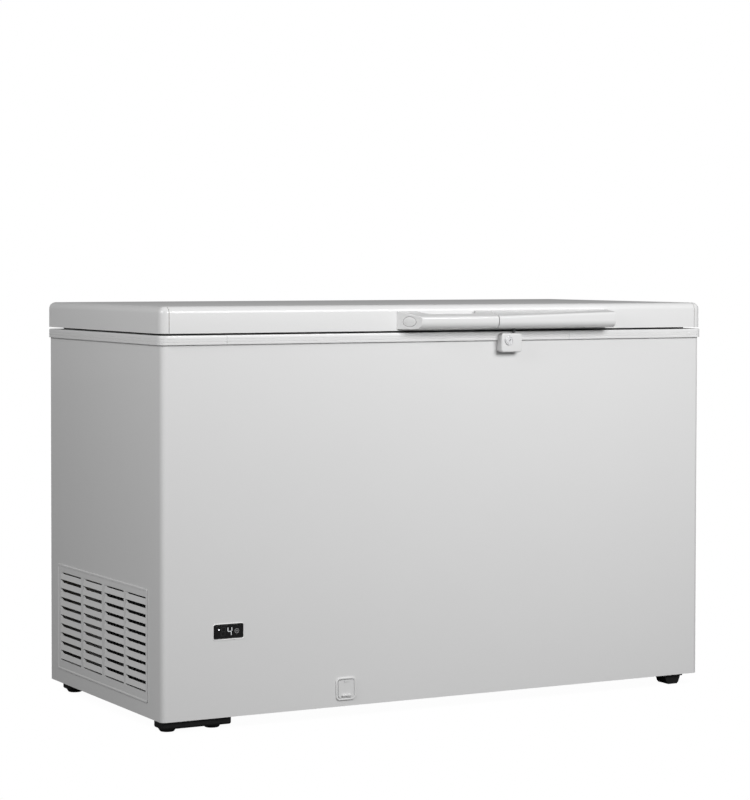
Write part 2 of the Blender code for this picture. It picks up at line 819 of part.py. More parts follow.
# ---- feet -------------------------------------------------------------------------------------
def foot_rails():
    """Black moulded rails under the machine end, each with two round pads."""
    top = BASE - GAP
    for name, x, y in (
        ("foot_rail_front", RAIL_LEFT, RAIL_FRONT),
        ("foot_rail_rear", RAIL_LEFT_REAR, BODY_D - RAIL_REAR - RAIL_D),
    ):
        low = at(x, y, 0)
        high = at(x + RAIL_W, y + RAIL_D, 0)
        rail = part(name, box((low.x, low.y, PAD_H), (high.x, high.y, top)), BLACK_PLASTIC)
        round_edges(rail, FOOT_EDGE)
        for pad_x in (low.x + PAD_INSET, high.x - PAD_INSET - PAD_R):
            centre = Vector((pad_x, (low.y + high.y) / 2, 0))
            rise = Vector((0, 0, PAD_H + FOOT_EDGE + PLAY))
            shape(rail, rod(centre, centre + rise, PAD_R - 2 * PLAY, PAD_R, 16), "UNION")


def right_feet():
    """Tapered black feet with a thin flange against the cabinet's underside."""
    top = BASE - GAP
    for name, y in (
        ("foot_front_right", RAIL_FRONT),
        ("foot_rear_right", BODY_D - RAIL_REAR - RAIL_D),
    ):
        left = at(BODY_W - RIGHT_FOOT_INSET - RIGHT_FOOT_W / 2, y, 0)
        foot = part(name, box(
            (left.x, left.y, top - FLANGE_T), (left.x + RIGHT_FOOT_W, left.y + RAIL_D, top)
        ), BLACK_PLASTIC)
        taper = (RIGHT_FOOT_W - RIGHT_FOOT_TIP) / 2
        right_x = left.x + RIGHT_FOOT_W
        root = top - FLANGE_T + PLAY
        outline = [
            (left.x + FOOT_EDGE, root), (left.x + taper, FOOT_BEVEL),
            (left.x + taper + FOOT_BEVEL, 0), (right_x - taper - FOOT_BEVEL, 0),
            (right_x - taper, FOOT_BEVEL), (right_x - FOOT_EDGE, root),
        ]
        leg = prism(outline, "Y", left.y + FOOT_EDGE, left.y + RAIL_D - FOOT_EDGE)
        shape(foot, leg, "UNION")


# ---- side grille ------------------------------------------------------------------------------
def side_grille():
    """A moulded panel with rows of slots between slanted louvres."""
    low = at(-GRILLE_PROUD, GRILLE_FRONT, GRILLE_Z)
    high = at(-GAP, BODY_D - GRILLE_REAR, GRILLE_Z + GRILLE_H)
    grille = part("side_grille", box(low, high), WHITE_PLASTIC)
    border = GRILLE_BORDER / 2 + GAP
    shape(grille, box(
        (low.x + PLAY, low.y + border, low.z + border),
        (low.x + PLAY + GRILLE_T, high.y - border, high.z - border),
    ), "UNION")
    slots = []
    first, last = low.y + GRILLE_BORDER, high.y - GRILLE_BORDER
    column = (last - first + SLOT_BAR) / SLOT_COLUMNS
    row = (high.z - low.z - 2 * GRILLE_BORDER) / SLOT_ROWS
    outside, inside = low.x - 0.002, low.x + 0.010
    rise = SLOT_SLANT
    for c in range(SLOT_COLUMNS):
        start = first + c * column
        end = start + column - SLOT_BAR
        for r in range(SLOT_ROWS):
            z = low.z + GRILLE_BORDER + (r + 0.5) * row
            outline = [
                (outside, z - SLOT_H / 2 - rise / 2), (inside, z - SLOT_H / 2 + rise / 2),
                (inside, z + SLOT_H / 2 + rise / 2), (outside, z + SLOT_H / 2 - rise / 2),
            ]
            slots.append(prism(outline, "Y", start, end))
    shape(grille, joined(*slots))


# ---- controller -------------------------------------------------------------------------------
def controller():
    """The thermostat: bezel, window, key and the box behind them."""
    centre = at(DISPLAY_X, 0, DISPLAY_Z)
    half_w, half_h = DISPLAY_W / 2, DISPLAY_H / 2

    def outline(inset):
        return rounded(
            (centre.x - half_w + inset, centre.z - half_h + inset),
            (centre.x + half_w - inset, centre.z + half_h - inset),
            max(DISPLAY_R - inset, PLAY), 3,
        )

    bezel_back = FRONT + BEZEL_D
    bezel = part("controller_bezel", prism(outline(0), "Y", FRONT + GAP, bezel_back), BLACK_PLASTIC)
    shape(bezel, prism(outline(DISPLAY_RIM), "Y", FRONT - THROUGH, bezel_back + THROUGH))
    glass = FRONT + WINDOW_SINK
    window = part("controller_window", prism(
        outline(DISPLAY_RIM + GAP), "Y", glass, glass + WINDOW_T
    ), BLACK_GLASS)
    key = at(BUTTON_X, 0, DISPLAY_Z)
    reach = Vector((0, THROUGH, 0))
    shape(window, rod(key - reach, key + reach, BUTTON_R + GAP))
    travel = axis_point("controller_key_axis", key)
    face = key + Vector((0, BUTTON_SINK, 0))
    foot = face + Vector((0, BUTTON_L, 0))
    button = part("controller_key", rod(face, foot, BUTTON_R), BLACK_PLASTIC)
    hang(button, travel)
    housing = part("controller_housing", prism(
        outline(0), "Y", bezel_back + GAP, FRONT + CONTROLLER_D
    ), BLACK_PLASTIC)
    shape(housing, prism(
        outline(DISPLAY_RIM + GAP), "Y", foot.y + 2 * PLAY, FRONT + CONTROLLER_D / 2
    ), "UNION")


# ---- lid --------------------------------------------------------------------------------------
def lid_block(inset, low_z):
    """The lid's outer form, or the same form this far inside it."""
    low = (LID_LEFT + inset, LID_FRONT + inset, low_z)
    bm = box(low, (LID_RIGHT - inset, LID_BACK - inset, LID_TOP - inset))
    upright = [e for e in bm.edges if abs(e.verts[0].co.z - e.verts[1].co.z) > 0.01]
    bmesh.ops.bevel(bm, geom=upright, offset=LID_CORNER_R - inset, segments=4, profile=0.5,
                    affect="EDGES", material=-1)
    top = max(v.co.z for v in bm.verts)
    rim = [e for e in bm.edges if all(v.co.z > top - 1e-5 for v in e.verts)]
    bmesh.ops.bevel(bm, geom=rim, offset=LID_TOP_R - inset, segments=4, profile=0.5,
                    affect="EDGES", material=-1)
    return bm


def cap_corners(grow):
    """The four square corners that the lid's corner caps fill."""
    reach = CAP_W + grow
    for side, x in (("left", LID_LEFT), ("right", LID_RIGHT)):
        for end, y in (("front", LID_FRONT), ("rear", LID_BACK)):
            into_x = reach if side == "left" else -reach
            into_y = reach if end == "front" else -reach
            out_x = -0.01 if side == "left" else 0.01
            out_y = -0.01 if end == "front" else 0.01
            xs, ys = sorted((x + out_x, x + into_x)), sorted((y + out_y, y + into_y))
            yield f"{end}_{side}", box((xs[0], ys[0], LID_BASE - 0.02), (xs[1], ys[1], LID_TOP + 0.02))


def lid(axis):
    skin = part("lid_skin", lid_block(0, LID_BASE), WHITE_STEEL)
    shape(skin, lid_block(SHEET, LID_BASE - 0.02))
    shape(skin, joined(*[corner for _, corner in cap_corners(GAP)]))
    for name, corner in cap_corners(0):
        cap = part(f"lid_cap_{name}", lid_block(0, LID_BASE), WHITE_PLASTIC)
        shape(cap, corner, "INTERSECT")
        hang(cap, axis)
    inside = SHEET + GAP
    liner_top = LID_BASE + SEAL_H + LID_LINER_T
    foam = part("lid_foam", lid_block(inside, liner_top + GAP), FOAM)
    shape(foam, joined(*[corner for _, corner in cap_corners(2 * GAP)]))
    liner = part("lid_liner", lid_liner(), WHITE_PLASTIC)
    shape(liner, joined(*[corner for _, corner in cap_corners(2 * GAP)]))
    seal = part("lid_gasket", lid_gasket(), GREY_RUBBER)
    for piece in (skin, foam, liner, seal):
        hang(piece, axis)


def lid_liner():
    """A thin moulded tray with a channel round it for the seal."""
    inside = SHEET + GAP
    t = LID_LINER_T
    low, top = LID_BASE + GAP, LID_BASE + SEAL_H - SEAL_GAP + GAP + t
    outer, inner = SEAL_INSET - GAP, SEAL_INSET + SEAL_W + GAP
    bm = box((LID_LEFT + inside, LID_FRONT + inside, low), (LID_RIGHT - inside, LID_BACK - inside, low + t))
    lower = min(bm.faces, key=lambda f: f.calc_center_median().z)
    upper = max(bm.faces, key=lambda f: f.calc_center_median().z)
    rise = top - low - t
    for face, direction, first, last in (
        (lower, -1, outer - inside, inner - outer),
        (upper, 1, outer - inside - t, inner - outer + 2 * t),
    ):
        step_in(bm, face, first, 0)
        step_in(bm, face, 1e-5, direction * rise)
        step_in(bm, face, last, 0)
        step_in(bm, face, 1e-5, -direction * rise)
    return bm


def step_in(bm, face, thickness, depth):
    """Insets a face and moves the smaller face along its normal."""
    bmesh.ops.inset_individual(bm, faces=[face], thickness=thickness, depth=depth, use_even_offset=True)


def lid_gasket():
    low, top = COLLAR_TOP + GAP, COLLAR_TOP + SEAL_H
    a, b = SEAL_INSET, SEAL_INSET + SEAL_W
    soft = SEAL_EDGE
    section = [(a + soft, low), (a, low + soft), (a, top), (b, top), (b, low + soft), (b - soft, low)]
    return carried_round(section, (LID_LEFT, LID_FRONT), (LID_RIGHT, LID_BACK), SEAL_CORNER_R)


# ---- handle -----------------------------------------------------------------------------------
def handle_section(front_top):
    """The handle seen from its end, as (y, z) points from the lid's face outwards."""
    back, front = LID_FRONT - GAP, LID_FRONT - HANDLE_DEPTH
    low, top = on_lid(HANDLE_BASE), on_lid(front_top)
    belly = (front + HANDLE_BELLY_D, low + HANDLE_BELLY_H)
    edge = (front + HANDLE_EDGE_R, top - HANDLE_EDGE_R)
    return (
        [(back, low + PLAY)]
        + arc(belly, HANDLE_BELLY_D, 270, 180, 4, HANDLE_BELLY_H)
        + arc(edge, HANDLE_EDGE_R, 180, 90, 2)
        + [(back, on_lid(HANDLE_REAR_TOP))]
    )


def handle_form(left, right, front_top, front_top_right):
    """The handle's section stretched between two ends, higher at the right end if asked."""
    bm = bmesh.new()
    ends = []
    for x, top in ((left, front_top), (right, front_top_right)):
        ends.append([bm.verts.new((LEFT + x, y, z)) for y, z in handle_section(top)])
    count = len(ends[0])
    bm.faces.new(ends[0])
    bm.faces.new(ends[1][::-1])
    for i in range(count):
        j = (i + 1) % count
        bm.faces.new((ends[0][i], ends[1][i], ends[1][j], ends[0][j]))
    return bm


def handle(axis):
    """The grip with its finger gap, and the guard in line with it, over the lock."""
    seam = HANDLE_SPLIT / 2
    grip = part("handle_grip", handle_form(
        HANDLE_LEFT, HANDLE_SEAM - seam, HANDLE_FRONT_TOP, HANDLE_FRONT_TOP
    ), WHITE_PLASTIC)
    back, front = LID_FRONT, LID_FRONT - HANDLE_DEPTH
    low, high = on_lid(HANDLE_BASE) - 2 * THROUGH, on_lid(HANDLE_REAR_TOP) + 2 * THROUGH
    left = LEFT + HANDLE_LEFT
    shape(grip, prism([
        (left - THROUGH, back + THROUGH), (left, back), (left + HANDLE_SLANT, front),
        (left + HANDLE_SLANT, front - THROUGH), (left - THROUGH, front - THROUGH),
    ], "Z", low, high))
    first, last, slope = LEFT + GRIP_GAP_LEFT, LEFT + GRIP_GAP_RIGHT, GRIP_GAP_SLOPE
    deep = back - GRIP_GAP
    shape(grip, prism([
        (first, back + THROUGH), (first, back), (first + slope, deep),
        (last - slope, deep), (last, back), (last, back + THROUGH),
    ], "Z", low, high))
    guard = part("handle_guard", handle_form(
        HANDLE_SEAM + seam, HANDLE_RIGHT, HANDLE_FRONT_TOP, HANDLE_FRONT_TOP_RIGHT
    ), WHITE_PLASTIC)
    x, half_x = LEFT + KEEPER_X, KEEPER_T / 2 + GAP
    keeper_front, keeper_back = keeper_span()
    shape(guard, box(
        (x - half_x, keeper_front - KEEPER_SLOT_PLAY, low),
        (x + half_x, keeper_back + KEEPER_SLOT_PLAY, on_lid(HANDLE_BASE) + KEEPER_ROOT + PLAY),
    ))
    plug = handle_plug(grip, left, back, front)
    for piece in (grip, guard, plug):
        hang(piece, axis)


def handle_plug(grip, left, back, front):
    """The oval plug in the slanted end, which covers the fixing screw."""
    middle = Vector((left + HANDLE_SLANT / 2, (back + front) / 2, on_lid(HANDLE_BASE) + PLUG_RISE))
    normal = Vector((back - front, HANDLE_SLANT, 0)).normalized() * -1
    turn = Vector((0, 0, 1)).rotation_difference(normal).to_matrix()
    stretch = PLUG_W / PLUG_H

    def oval(grow, inward, outward):
        bm = rod((0, 0, -inward), (0, 0, outward), PLUG_H / 2 + grow, sides=20)
        bmesh.ops.scale(bm, vec=(stretch, 1, 1), verts=bm.verts)
        along = turn @ Vector((1, 0, 0))
        level = Vector((normal.y, -normal.x, 0)).normalized()
        spin = along.rotation_difference(level).to_matrix()
        bmesh.ops.rotate(bm, cent=(0, 0, 0), matrix=spin @ turn, verts=bm.verts)
        bmesh.ops.translate(bm, vec=middle, verts=bm.verts)
        return bm

    shape(grip, oval(GAP, PLUG_DEPTH, THROUGH))
    return part("handle_plug", oval(0, PLUG_DEPTH - GAP, PLUG_PROUD), WHITE_PLASTIC)


# ---- lock -------------------------------------------------------------------------------------
def barrel_centre():
    return at(BARREL_X, -LOCK_D, BODY_H - BARREL_BELOW)


def keeper_span():
    """The keeper's front and back edges: its back edge stands clear of the collar's face."""
    back = FRONT - COLLAR_OVERHANG - GAP
    return back - KEEPER_D, back


def lock():
    """The hollow housing on the front, notched over the collar, slotted for the keeper."""
    bottom = BODY_H - LOCK_BELOW
    low = at(LOCK_X - LOCK_W / 2, -LOCK_D, bottom)
    high = at(LOCK_X + LOCK_W / 2, -GAP, bottom + LOCK_H)
    outline = rounded((low.x, low.z), (high.x, high.z), LOCK_R, 3)
    housing = part("lock_housing", prism(outline, "Y", low.y, high.y), WHITE_PLASTIC)
    wall = Vector((LOCK_WALL, LOCK_WALL, LOCK_WALL))
    shape(housing, box(low + wall, high + Vector((-LOCK_WALL, THROUGH, -LOCK_WALL))))
    shape(housing, box(
        (low.x - THROUGH, FRONT - COLLAR_OVERHANG - GAP, BODY_TOP - GAP),
        (high.x + THROUGH, high.y + THROUGH, high.z + THROUGH),
    ))
    x, half_x = LEFT + KEEPER_X, KEEPER_T / 2 + PLAY
    front, back = keeper_span()
    shape(housing, box(
        (x - half_x, front - PLAY, high.z - 2 * LOCK_WALL),
        (x + half_x, back + PLAY, high.z + LOCK_WALL),
    ))
    centre = barrel_centre()
    reach = Vector((0, 2 * LOCK_WALL, 0))
    shape(housing, rod(centre - reach, centre + reach, BARREL_R + GAP, sides=32))


def lock_barrel():
    """The key barrel with its cam, which turns a quarter turn into the keeper's window."""
    centre = barrel_centre()
    turn = axis_point("lock_barrel_axis", centre)
    middle = FRONT - LOCK_D / 2
    face = centre - Vector((0, BARREL_PROUD, 0))
    inner = Vector((centre.x, middle - CAM_T / 2 + GAP, centre.z))
    barrel = part("lock_barrel", rod(face, inner, BARREL_R, sides=32), BARE_STEEL)
    half = Vector((KEYWAY_L / 2, 0, KEYWAY_W / 2))
    shape(barrel, box(face - half - Vector((0, PLAY, 0)), face + half + Vector((0, KEYWAY_D, 0))))
    cam = rounded(
        (centre.x - CAM_W / 2, centre.z - CAM_REACH), (centre.x + CAM_W / 2, centre.z + CAM_W / 2),
        CAM_W / 2 - CAM_FLAT, 2,
    )
    shape(barrel, prism(cam, "Y", middle - CAM_T / 2, middle + CAM_T / 2), "UNION")
    hang(barrel, turn)


def lock_keeper(axis):
    """A strip that hangs from the lid into the lock, with a window for the cam."""
    x, half_x = LEFT + KEEPER_X, KEEPER_T / 2
    front, back = keeper_span()
    middle = FRONT - LOCK_D / 2
    low, high = BODY_TOP - KEEPER_BELOW, on_lid(HANDLE_BASE) + KEEPER_ROOT
    strip = part("lock_keeper", box((x - half_x, front, low), (x + half_x, back, high)), BARE_STEEL)
    window = CAM_T / 2 + PLAY
    shape(strip, box(
        (x - THROUGH, middle - window, low + KEEPER_FRAME),
        (x + THROUGH, middle + window, barrel_centre().z + CAM_W / 2 + PLAY),
    ))
    hang(strip, axis)


# ---- hinges -----------------------------------------------------------------------------------
def hinge(side, x, axis):
    """A pin hinge behind the cabinet: leaf and outer knuckles below, arm and middle knuckle above."""
    third = HINGE_W / 6
    pin_at = Vector((x, HINGE_Y, HINGE_Z))
    reach = Vector((HINGE_W / 2, 0, 0))
    bore = PIN_R + BORE_PLAY
    shelf_base = BODY_TOP - LEAF_SHELF
    web = KNUCKLE_R * WEB
    leaf_back = BACK + GAP + LEAF_T
    base = part(f"hinge_base_{side}", box(
        (x - HINGE_W / 2, BACK + GAP, BODY_TOP - LEAF_H), (x + HINGE_W / 2, leaf_back, BODY_TOP - PLAY)
    ), BARE_STEEL)
    shape(base, box(
        (x - HINGE_W / 2, leaf_back - PLAY, shelf_base),
        (x + HINGE_W / 2, HINGE_Y + web, BODY_TOP - PLAY),
    ), "UNION")
    shape(base, box(
        (x - HINGE_W / 2, HINGE_Y - web, shelf_base), (x + HINGE_W / 2, HINGE_Y + web, HINGE_Z)
    ), "UNION")
    shape(base, rod(pin_at - reach, pin_at + reach, KNUCKLE_R), "UNION")
    swing = Vector((third * 2 + GAP, KNUCKLE_R + PLAY, KNUCKLE_R + PLAY))
    shape(base, box(pin_at - swing, pin_at + swing + Vector((0, 0.01, 0.01))))
    shape(base, rod(pin_at - reach * 1.2, pin_at + reach * 1.2, bore))
    pin_reach = reach + Vector((PLAY, 0, 0))
    part(f"hinge_pin_{side}", rod(pin_at - pin_reach, pin_at + pin_reach, PIN_R), BARE_STEEL)
    arm_front = LID_BACK + GAP
    inner = third * 2
    arm = part(f"hinge_arm_{side}", box(
        (x - inner, arm_front, HINGE_Z), (x + inner, arm_front + LEAF_T, LID_BASE + ARM_H)
    ), BARE_STEEL)
    shape(arm, rod(pin_at - Vector((inner, 0, 0)), pin_at + Vector((inner, 0, 0)), KNUCKLE_R), "UNION")
    shape(arm, rod(pin_at - reach * 1.2, pin_at + reach * 1.2, bore))
    hang(arm, axis)


# ---- machine compartment ----------------------------------------------------------------------
def compressor():
    centre = at(COMPRESSOR_INSET_X, BODY_D - COMPRESSOR_INSET_Y, BASE_SHEET)
    plate_z = GROMMET_H + 2 * GAP
    half_x, half_y = COMPRESSOR_BASE_W / 2, COMPRESSOR_BASE_D / 2
    low = centre + Vector((-half_x, -half_y, plate_z))
    high = centre + Vector((half_x, half_y, plate_z + COMPRESSOR_BASE_T))
    part("compressor_base", box(low, high), BLACK_ENAMEL)
    inset = GROMMET_INSET
    number = 0
    for dx in (-half_x + inset, half_x - inset):
        for dy in (-half_y + inset, half_y - inset):
            number += 1
            foot = centre + Vector((dx, dy, GAP))
            part(f"compressor_grommet_{number}", rod(
                foot, foot + Vector((0, 0, GROMMET_H)), GROMMET_R, sides=12
            ), BLACK_RUBBER)
    seat = plate_z + COMPRESSOR_BASE_T + GAP
    radius, height = COMPRESSOR_R, COMPRESSOR_H
    seam = height * CAN_SEAM
    dome = seam + CAN_FLANGE + 2 * PLAY
    upper, lower = radius * CAN_UPPER, radius * CAN_LOWER
    profile = [(0, height)]
    for slope in (25, 50, 70, 90):
        angle = math.radians(slope)
        profile.append((upper * math.sin(angle), dome + (height - dome) * math.cos(angle)))
    profile += [
        (upper, seam + CAN_FLANGE), (radius, seam + CAN_FLANGE), (radius, seam), (lower, seam - 2 * PLAY),
        (lower, CAN_BOWL), (radius * 0.80, CAN_BOWL / 4), (radius * 0.55, 0), (0, 0),
    ]
    turned("compressor_shell", profile, centre + Vector((0, 0, seat)), BLACK_ENAMEL)
    box_low = centre + Vector((radius + PLAY, -TERMINAL_W / 2, seat + TERMINAL_Z))
    box_high = box_low + Vector((TERMINAL_D, TERMINAL_W, TERMINAL_H))
    part("compressor_terminal_box", box(box_low, box_high), BLACK_PLASTIC)


def condenser():
    """A finned block behind the grille, with its tube folded up the warm side."""
    low = at(CONDENSER_X, CONDENSER_Y, CONDENSER_Z)
    high = low + Vector((CONDENSER_T, CONDENSER_L, CONDENSER_H))
    fins = part("condenser_fins", box(low, high), ALUMINIUM)
    grooves = []
    pitch = CONDENSER_L / FIN_COUNT
    web = 0.002
    middle = (low.x + high.x) / 2
    for n in range(FIN_COUNT):
        y = low.y + (n + 0.5) * pitch
        half = FIN_GROOVE / 2
        grooves.append(box((low.x - 0.01, y - half, low.z - 0.01), (middle - web, y + half, high.z + 0.01)))
        grooves.append(box((middle + web, y - half, low.z - 0.01), (high.x + 0.01, y + half, high.z + 0.01)))
    shape(fins, joined(*grooves))
    x = high.x + TUBE_R + PLAY
    runs = 5
    step = (CONDENSER_H - 0.040) / (runs - 1)
    corners = []
    for run in range(runs):
        z = low.z + 0.020 + run * step
        ends = (low.y + 0.012, high.y - 0.012)
        first, last = ends if run % 2 == 0 else ends[::-1]
        corners += [(x, first, z), (x, last, z)]
    tube("condenser_tube", bent(corners, 0.012, 2), TUBE_R, COPPER)


def fan():
    """A shroud plate, a motor on a bar across it, and the rotor."""
    centre = at(FAN_X, CONDENSER_Y + CONDENSER_L / 2, CONDENSER_Z + CONDENSER_H / 2)
    half = FAN_R + SHROUD_EDGE
    t = SHROUD_T
    shroud = part("fan_shroud", box(
        centre + Vector((0, -half, -half)), centre + Vector((t, half, half))
    ), BARE_STEEL)
    reach = Vector((0.02, 0, 0))
    shape(shroud, rod(centre - reach, centre + reach, FAN_R + SHROUD_CLEAR, sides=36))
    back = centre.x + t + GAP
    depth = FAN_D + THROUGH
    z0, z1 = centre.z - half, centre.z + half
    wide = SHROUD_BAR / 2
    shape(shroud, prism([
        (back - PLAY, z0), (back + depth, z0), (back + depth, z1), (back - PLAY, z1),
        (back - PLAY, z1 - t), (back + depth - t, z1 - t), (back + depth - t, z0 + t), (back - PLAY, z0 + t),
    ], "Y", centre.y - wide, centre.y + wide), "UNION")
    shape(shroud, rod(centre + reach, centre + reach * 4, SHAFT_R + PLAY, sides=16))
    motor_x = back + depth + GAP
    motor = part("fan_motor", rod(
        (motor_x, centre.y, centre.z), (motor_x + MOTOR_L, centre.y, centre.z), MOTOR_R, MOTOR_R * 0.9
    ), BARE_STEEL)
    shaft_end = centre.x + 0.012
    shaft_start = Vector((shaft_end, centre.y, centre.z))
    shape(motor, rod(shaft_start, (motor_x + PLAY, centre.y, centre.z), SHAFT_R, sides=16), "UNION")
    spin = axis_point("fan_axis", centre)
    rotor = part("fan_rotor", rod(
        centre + Vector((ROTOR_SET, 0, 0)), centre + Vector((ROTOR_SET + FAN_D, 0, 0)), FAN_HUB_R
    ), BLACK_PLASTIC)
    for n in range(FAN_BLADES):
        blade = box((-PLAY, -BLADE_W / 2, FAN_HUB_R * 0.8), (PLAY, BLADE_W / 2, FAN_R))
        pitch = Matrix.Rotation(math.radians(BLADE_PITCH), 3, "Z")
        around = Matrix.Rotation(2 * math.pi * n / FAN_BLADES, 3, "X")
        bmesh.ops.rotate(blade, cent=(0, 0, 0), matrix=around @ pitch, verts=blade.verts)
        bmesh.ops.translate(blade, vec=centre + Vector((ROTOR_SET + FAN_D / 2, 0, 0)), verts=blade.verts)
        shape(rotor, blade, "UNION")
    shape(rotor, rod(
        (shaft_end - PLAY, centre.y, centre.z), (centre.x + 0.03, centre.y, centre.z),
        SHAFT_R + BORE_PLAY, sides=16,
    ))
    hang(rotor, spin)


def pipework():
    """Suction, discharge and liquid lines between the compressor, condenser and evaporator."""
    centre = at(COMPRESSOR_INSET_X, BODY_D - COMPRESSOR_INSET_Y, 0)
    side = centre + Vector((-COMPRESSOR_R * 0.55, -COMPRESSOR_R - 0.004, 0.110))
    fins = at(CONDENSER_X + CONDENSER_T, CONDENSER_Y + CONDENSER_L, CONDENSER_Z)
    tube("discharge_line", bent([
        side, side + Vector((0, -0.020, 0)), (fins.x + 0.013, side.y - 0.020, side.z),
        (fins.x + 0.013, side.y - 0.020, fins.z + 0.02),
    ], 0.008, 2), TUBE_R * 0.75, COPPER)
    drier = at(COMPARTMENT_W - 0.045, 0.150, 0.120)
    part("filter_drier", rod(drier, drier + Vector((0, 0.110, 0.020)), 0.011, sides=16), COPPER)


def cable_gland():
    """The gland in the rear panel where a mains lead is clamped."""
    centre = at(GLAND_X, BODY_D, GLAND_Z)
    out = Vector((0, 1, 0))
    gland = part("cable_gland", rod(
        centre + out * GAP, centre + out * GLAND_PROUD, GLAND_R, GLAND_R - 2 * PLAY, 12
    ), BLACK_PLASTIC)
    neck = rod(centre - out * GLAND_NECK, centre + out * 2 * PLAY, GLAND_R - GLAND_LIP)
    shape(gland, neck, "UNION")
    through = GLAND_NECK + THROUGH
    shape(gland, rod(centre - out * through, centre + out * through, GLAND_BORE_R, sides=16))


# ---- basket -----------------------------------------------------------------------------------
def basket():
    """A welded wire basket that hangs by its end rails on the collar's ledges and slides along them."""
    rail_z = COLLAR_TOP - LEDGE_DROP + BASKET_WIRE / 2 + GAP
    low = Vector((LEFT + BASKET_X, TANK_FRONT + BASKET_CLEAR, rail_z - BASKET_H))
    high = Vector((low.x + BASKET_W, TANK_BACK - BASKET_CLEAR, rail_z))
    slide = axis_point("basket_axis", (low + high) / 2)
    bm = box(low, high)
    open_top = max(bm.faces, key=lambda f: f.calc_center_median().z)
    bmesh.ops.delete(bm, geom=[open_top], context="FACES_ONLY")
    for axis, count in ((0, 4), (1, 7), (2, 3)):
        for n in range(1, count):
            point = low.copy()
            point[axis] += (high[axis] - low[axis]) * n / count
            normal = Vector((0, 0, 0))
            normal[axis] = 1
            bmesh.ops.bisect_plane(bm, geom=bm.verts[:] + bm.edges[:] + bm.faces[:],
                                   plane_co=point, plane_no=normal)
    overlap = BASKET_CLEAR + LEDGE_W * 0.6
    quarter = BASKET_W / 4
    for y, out in ((low.y, -overlap), (high.y, overlap)):
        rail = [
            e for e in bm.edges
            if all(abs(v.co.y - y) < 1e-6 and abs(v.co.z - high.z) < 1e-6 for v in e.verts)
            and abs(sum(v.co.x for v in e.verts) / 2 - slide.location.x) < quarter
        ]
        loop = bmesh.ops.extrude_edge_only(bm, edges=rail)["geom"]
        verts = [item for item in loop if isinstance(item, bmesh.types.BMVert)]
        bmesh.ops.translate(bm, vec=(0, out, 0), verts=verts)
    wires = part("storage_basket", bm, WHITE_WIRE)
    wire = wires.modifiers.new("wires", "WIREFRAME")
    wire.thickness = BASKET_WIRE
    wire.use_boundary = True
    wire.use_replace = True
    wire.use_even_offset = True
    hang(wires, slide)


# ---- assembly ---------------------------------------------------------------------------------
clear_scene()
PARTS = collection("chest_freezer")
CUTTERS = collection("chest_freezer_cutters")
CUTTERS.hide_render = True

outer_shell()
rear_panel()
floor_sheets()
foam_insulation()
inner_liner()
evaporator_coil()
drain_parts()
collar()
foot_rails()
right_feet()
side_grille()
controller()

lid_axis = axis_point("lid_axis", (0, HINGE_Y, HINGE_Z))
lid(lid_axis)
handle(lid_axis)
lock()
lock_barrel()
lock_keeper(lid_axis)
hinge("left", LEFT + HINGE_X, lid_axis)
hinge("right", RIGHT - HINGE_X, lid_axis)

compressor()
condenser()
fan()
pipework()
cable_gland()
basket()
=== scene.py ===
"""Chest freezer with a long lid handle, a lock and a thermostat: the looks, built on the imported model."""

import math

import bmesh
import bpy
from mathutils import Matrix, Vector


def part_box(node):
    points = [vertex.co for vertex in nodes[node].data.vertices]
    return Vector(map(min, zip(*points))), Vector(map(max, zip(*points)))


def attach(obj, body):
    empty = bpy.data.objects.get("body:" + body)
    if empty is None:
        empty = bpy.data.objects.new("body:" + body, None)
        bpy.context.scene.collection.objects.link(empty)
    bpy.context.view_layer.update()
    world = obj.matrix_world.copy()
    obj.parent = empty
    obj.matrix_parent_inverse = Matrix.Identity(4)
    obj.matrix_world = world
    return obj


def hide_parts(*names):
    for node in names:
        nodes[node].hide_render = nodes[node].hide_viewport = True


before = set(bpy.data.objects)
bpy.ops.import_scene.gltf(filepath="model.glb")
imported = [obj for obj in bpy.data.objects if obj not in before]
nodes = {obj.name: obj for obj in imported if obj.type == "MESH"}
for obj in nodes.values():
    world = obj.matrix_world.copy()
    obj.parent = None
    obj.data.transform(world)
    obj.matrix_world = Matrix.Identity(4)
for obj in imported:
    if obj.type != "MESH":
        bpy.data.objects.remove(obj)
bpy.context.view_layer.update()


# ---- camera: a long lens in front of the object and to its left, just above the lid --------------
# It stands five and a half metres away and looks down by two degrees. Its shift keeps the uprights
# almost parallel.
camera_data = bpy.data.cameras.new("camera")
camera_data.lens, camera_data.sensor_width = 111.06, 36.0
camera_data.shift_x, camera_data.shift_y = -0.0009, -0.0655
camera_data.clip_start, camera_data.clip_end = 0.1, 60.0
camera = bpy.data.objects.new("camera", camera_data)
bpy.context.scene.collection.objects.link(camera)
turn, pitch, roll = math.radians(28.561), math.radians(-1.941), math.radians(0.092)
forward = Vector((math.sin(turn) * math.cos(pitch), math.cos(turn) * math.cos(pitch), math.sin(pitch)))
camera.location = (-2.6026, -4.7616, 0.9325)
camera.rotation_mode = "QUATERNION"
camera.rotation_quaternion = forward.to_track_quat("-Z", "Y") @ Matrix.Rotation(roll, 3, "Z").to_quaternion()
bpy.context.scene.camera = camera
bpy.context.scene.view_settings.view_transform = "Standard"


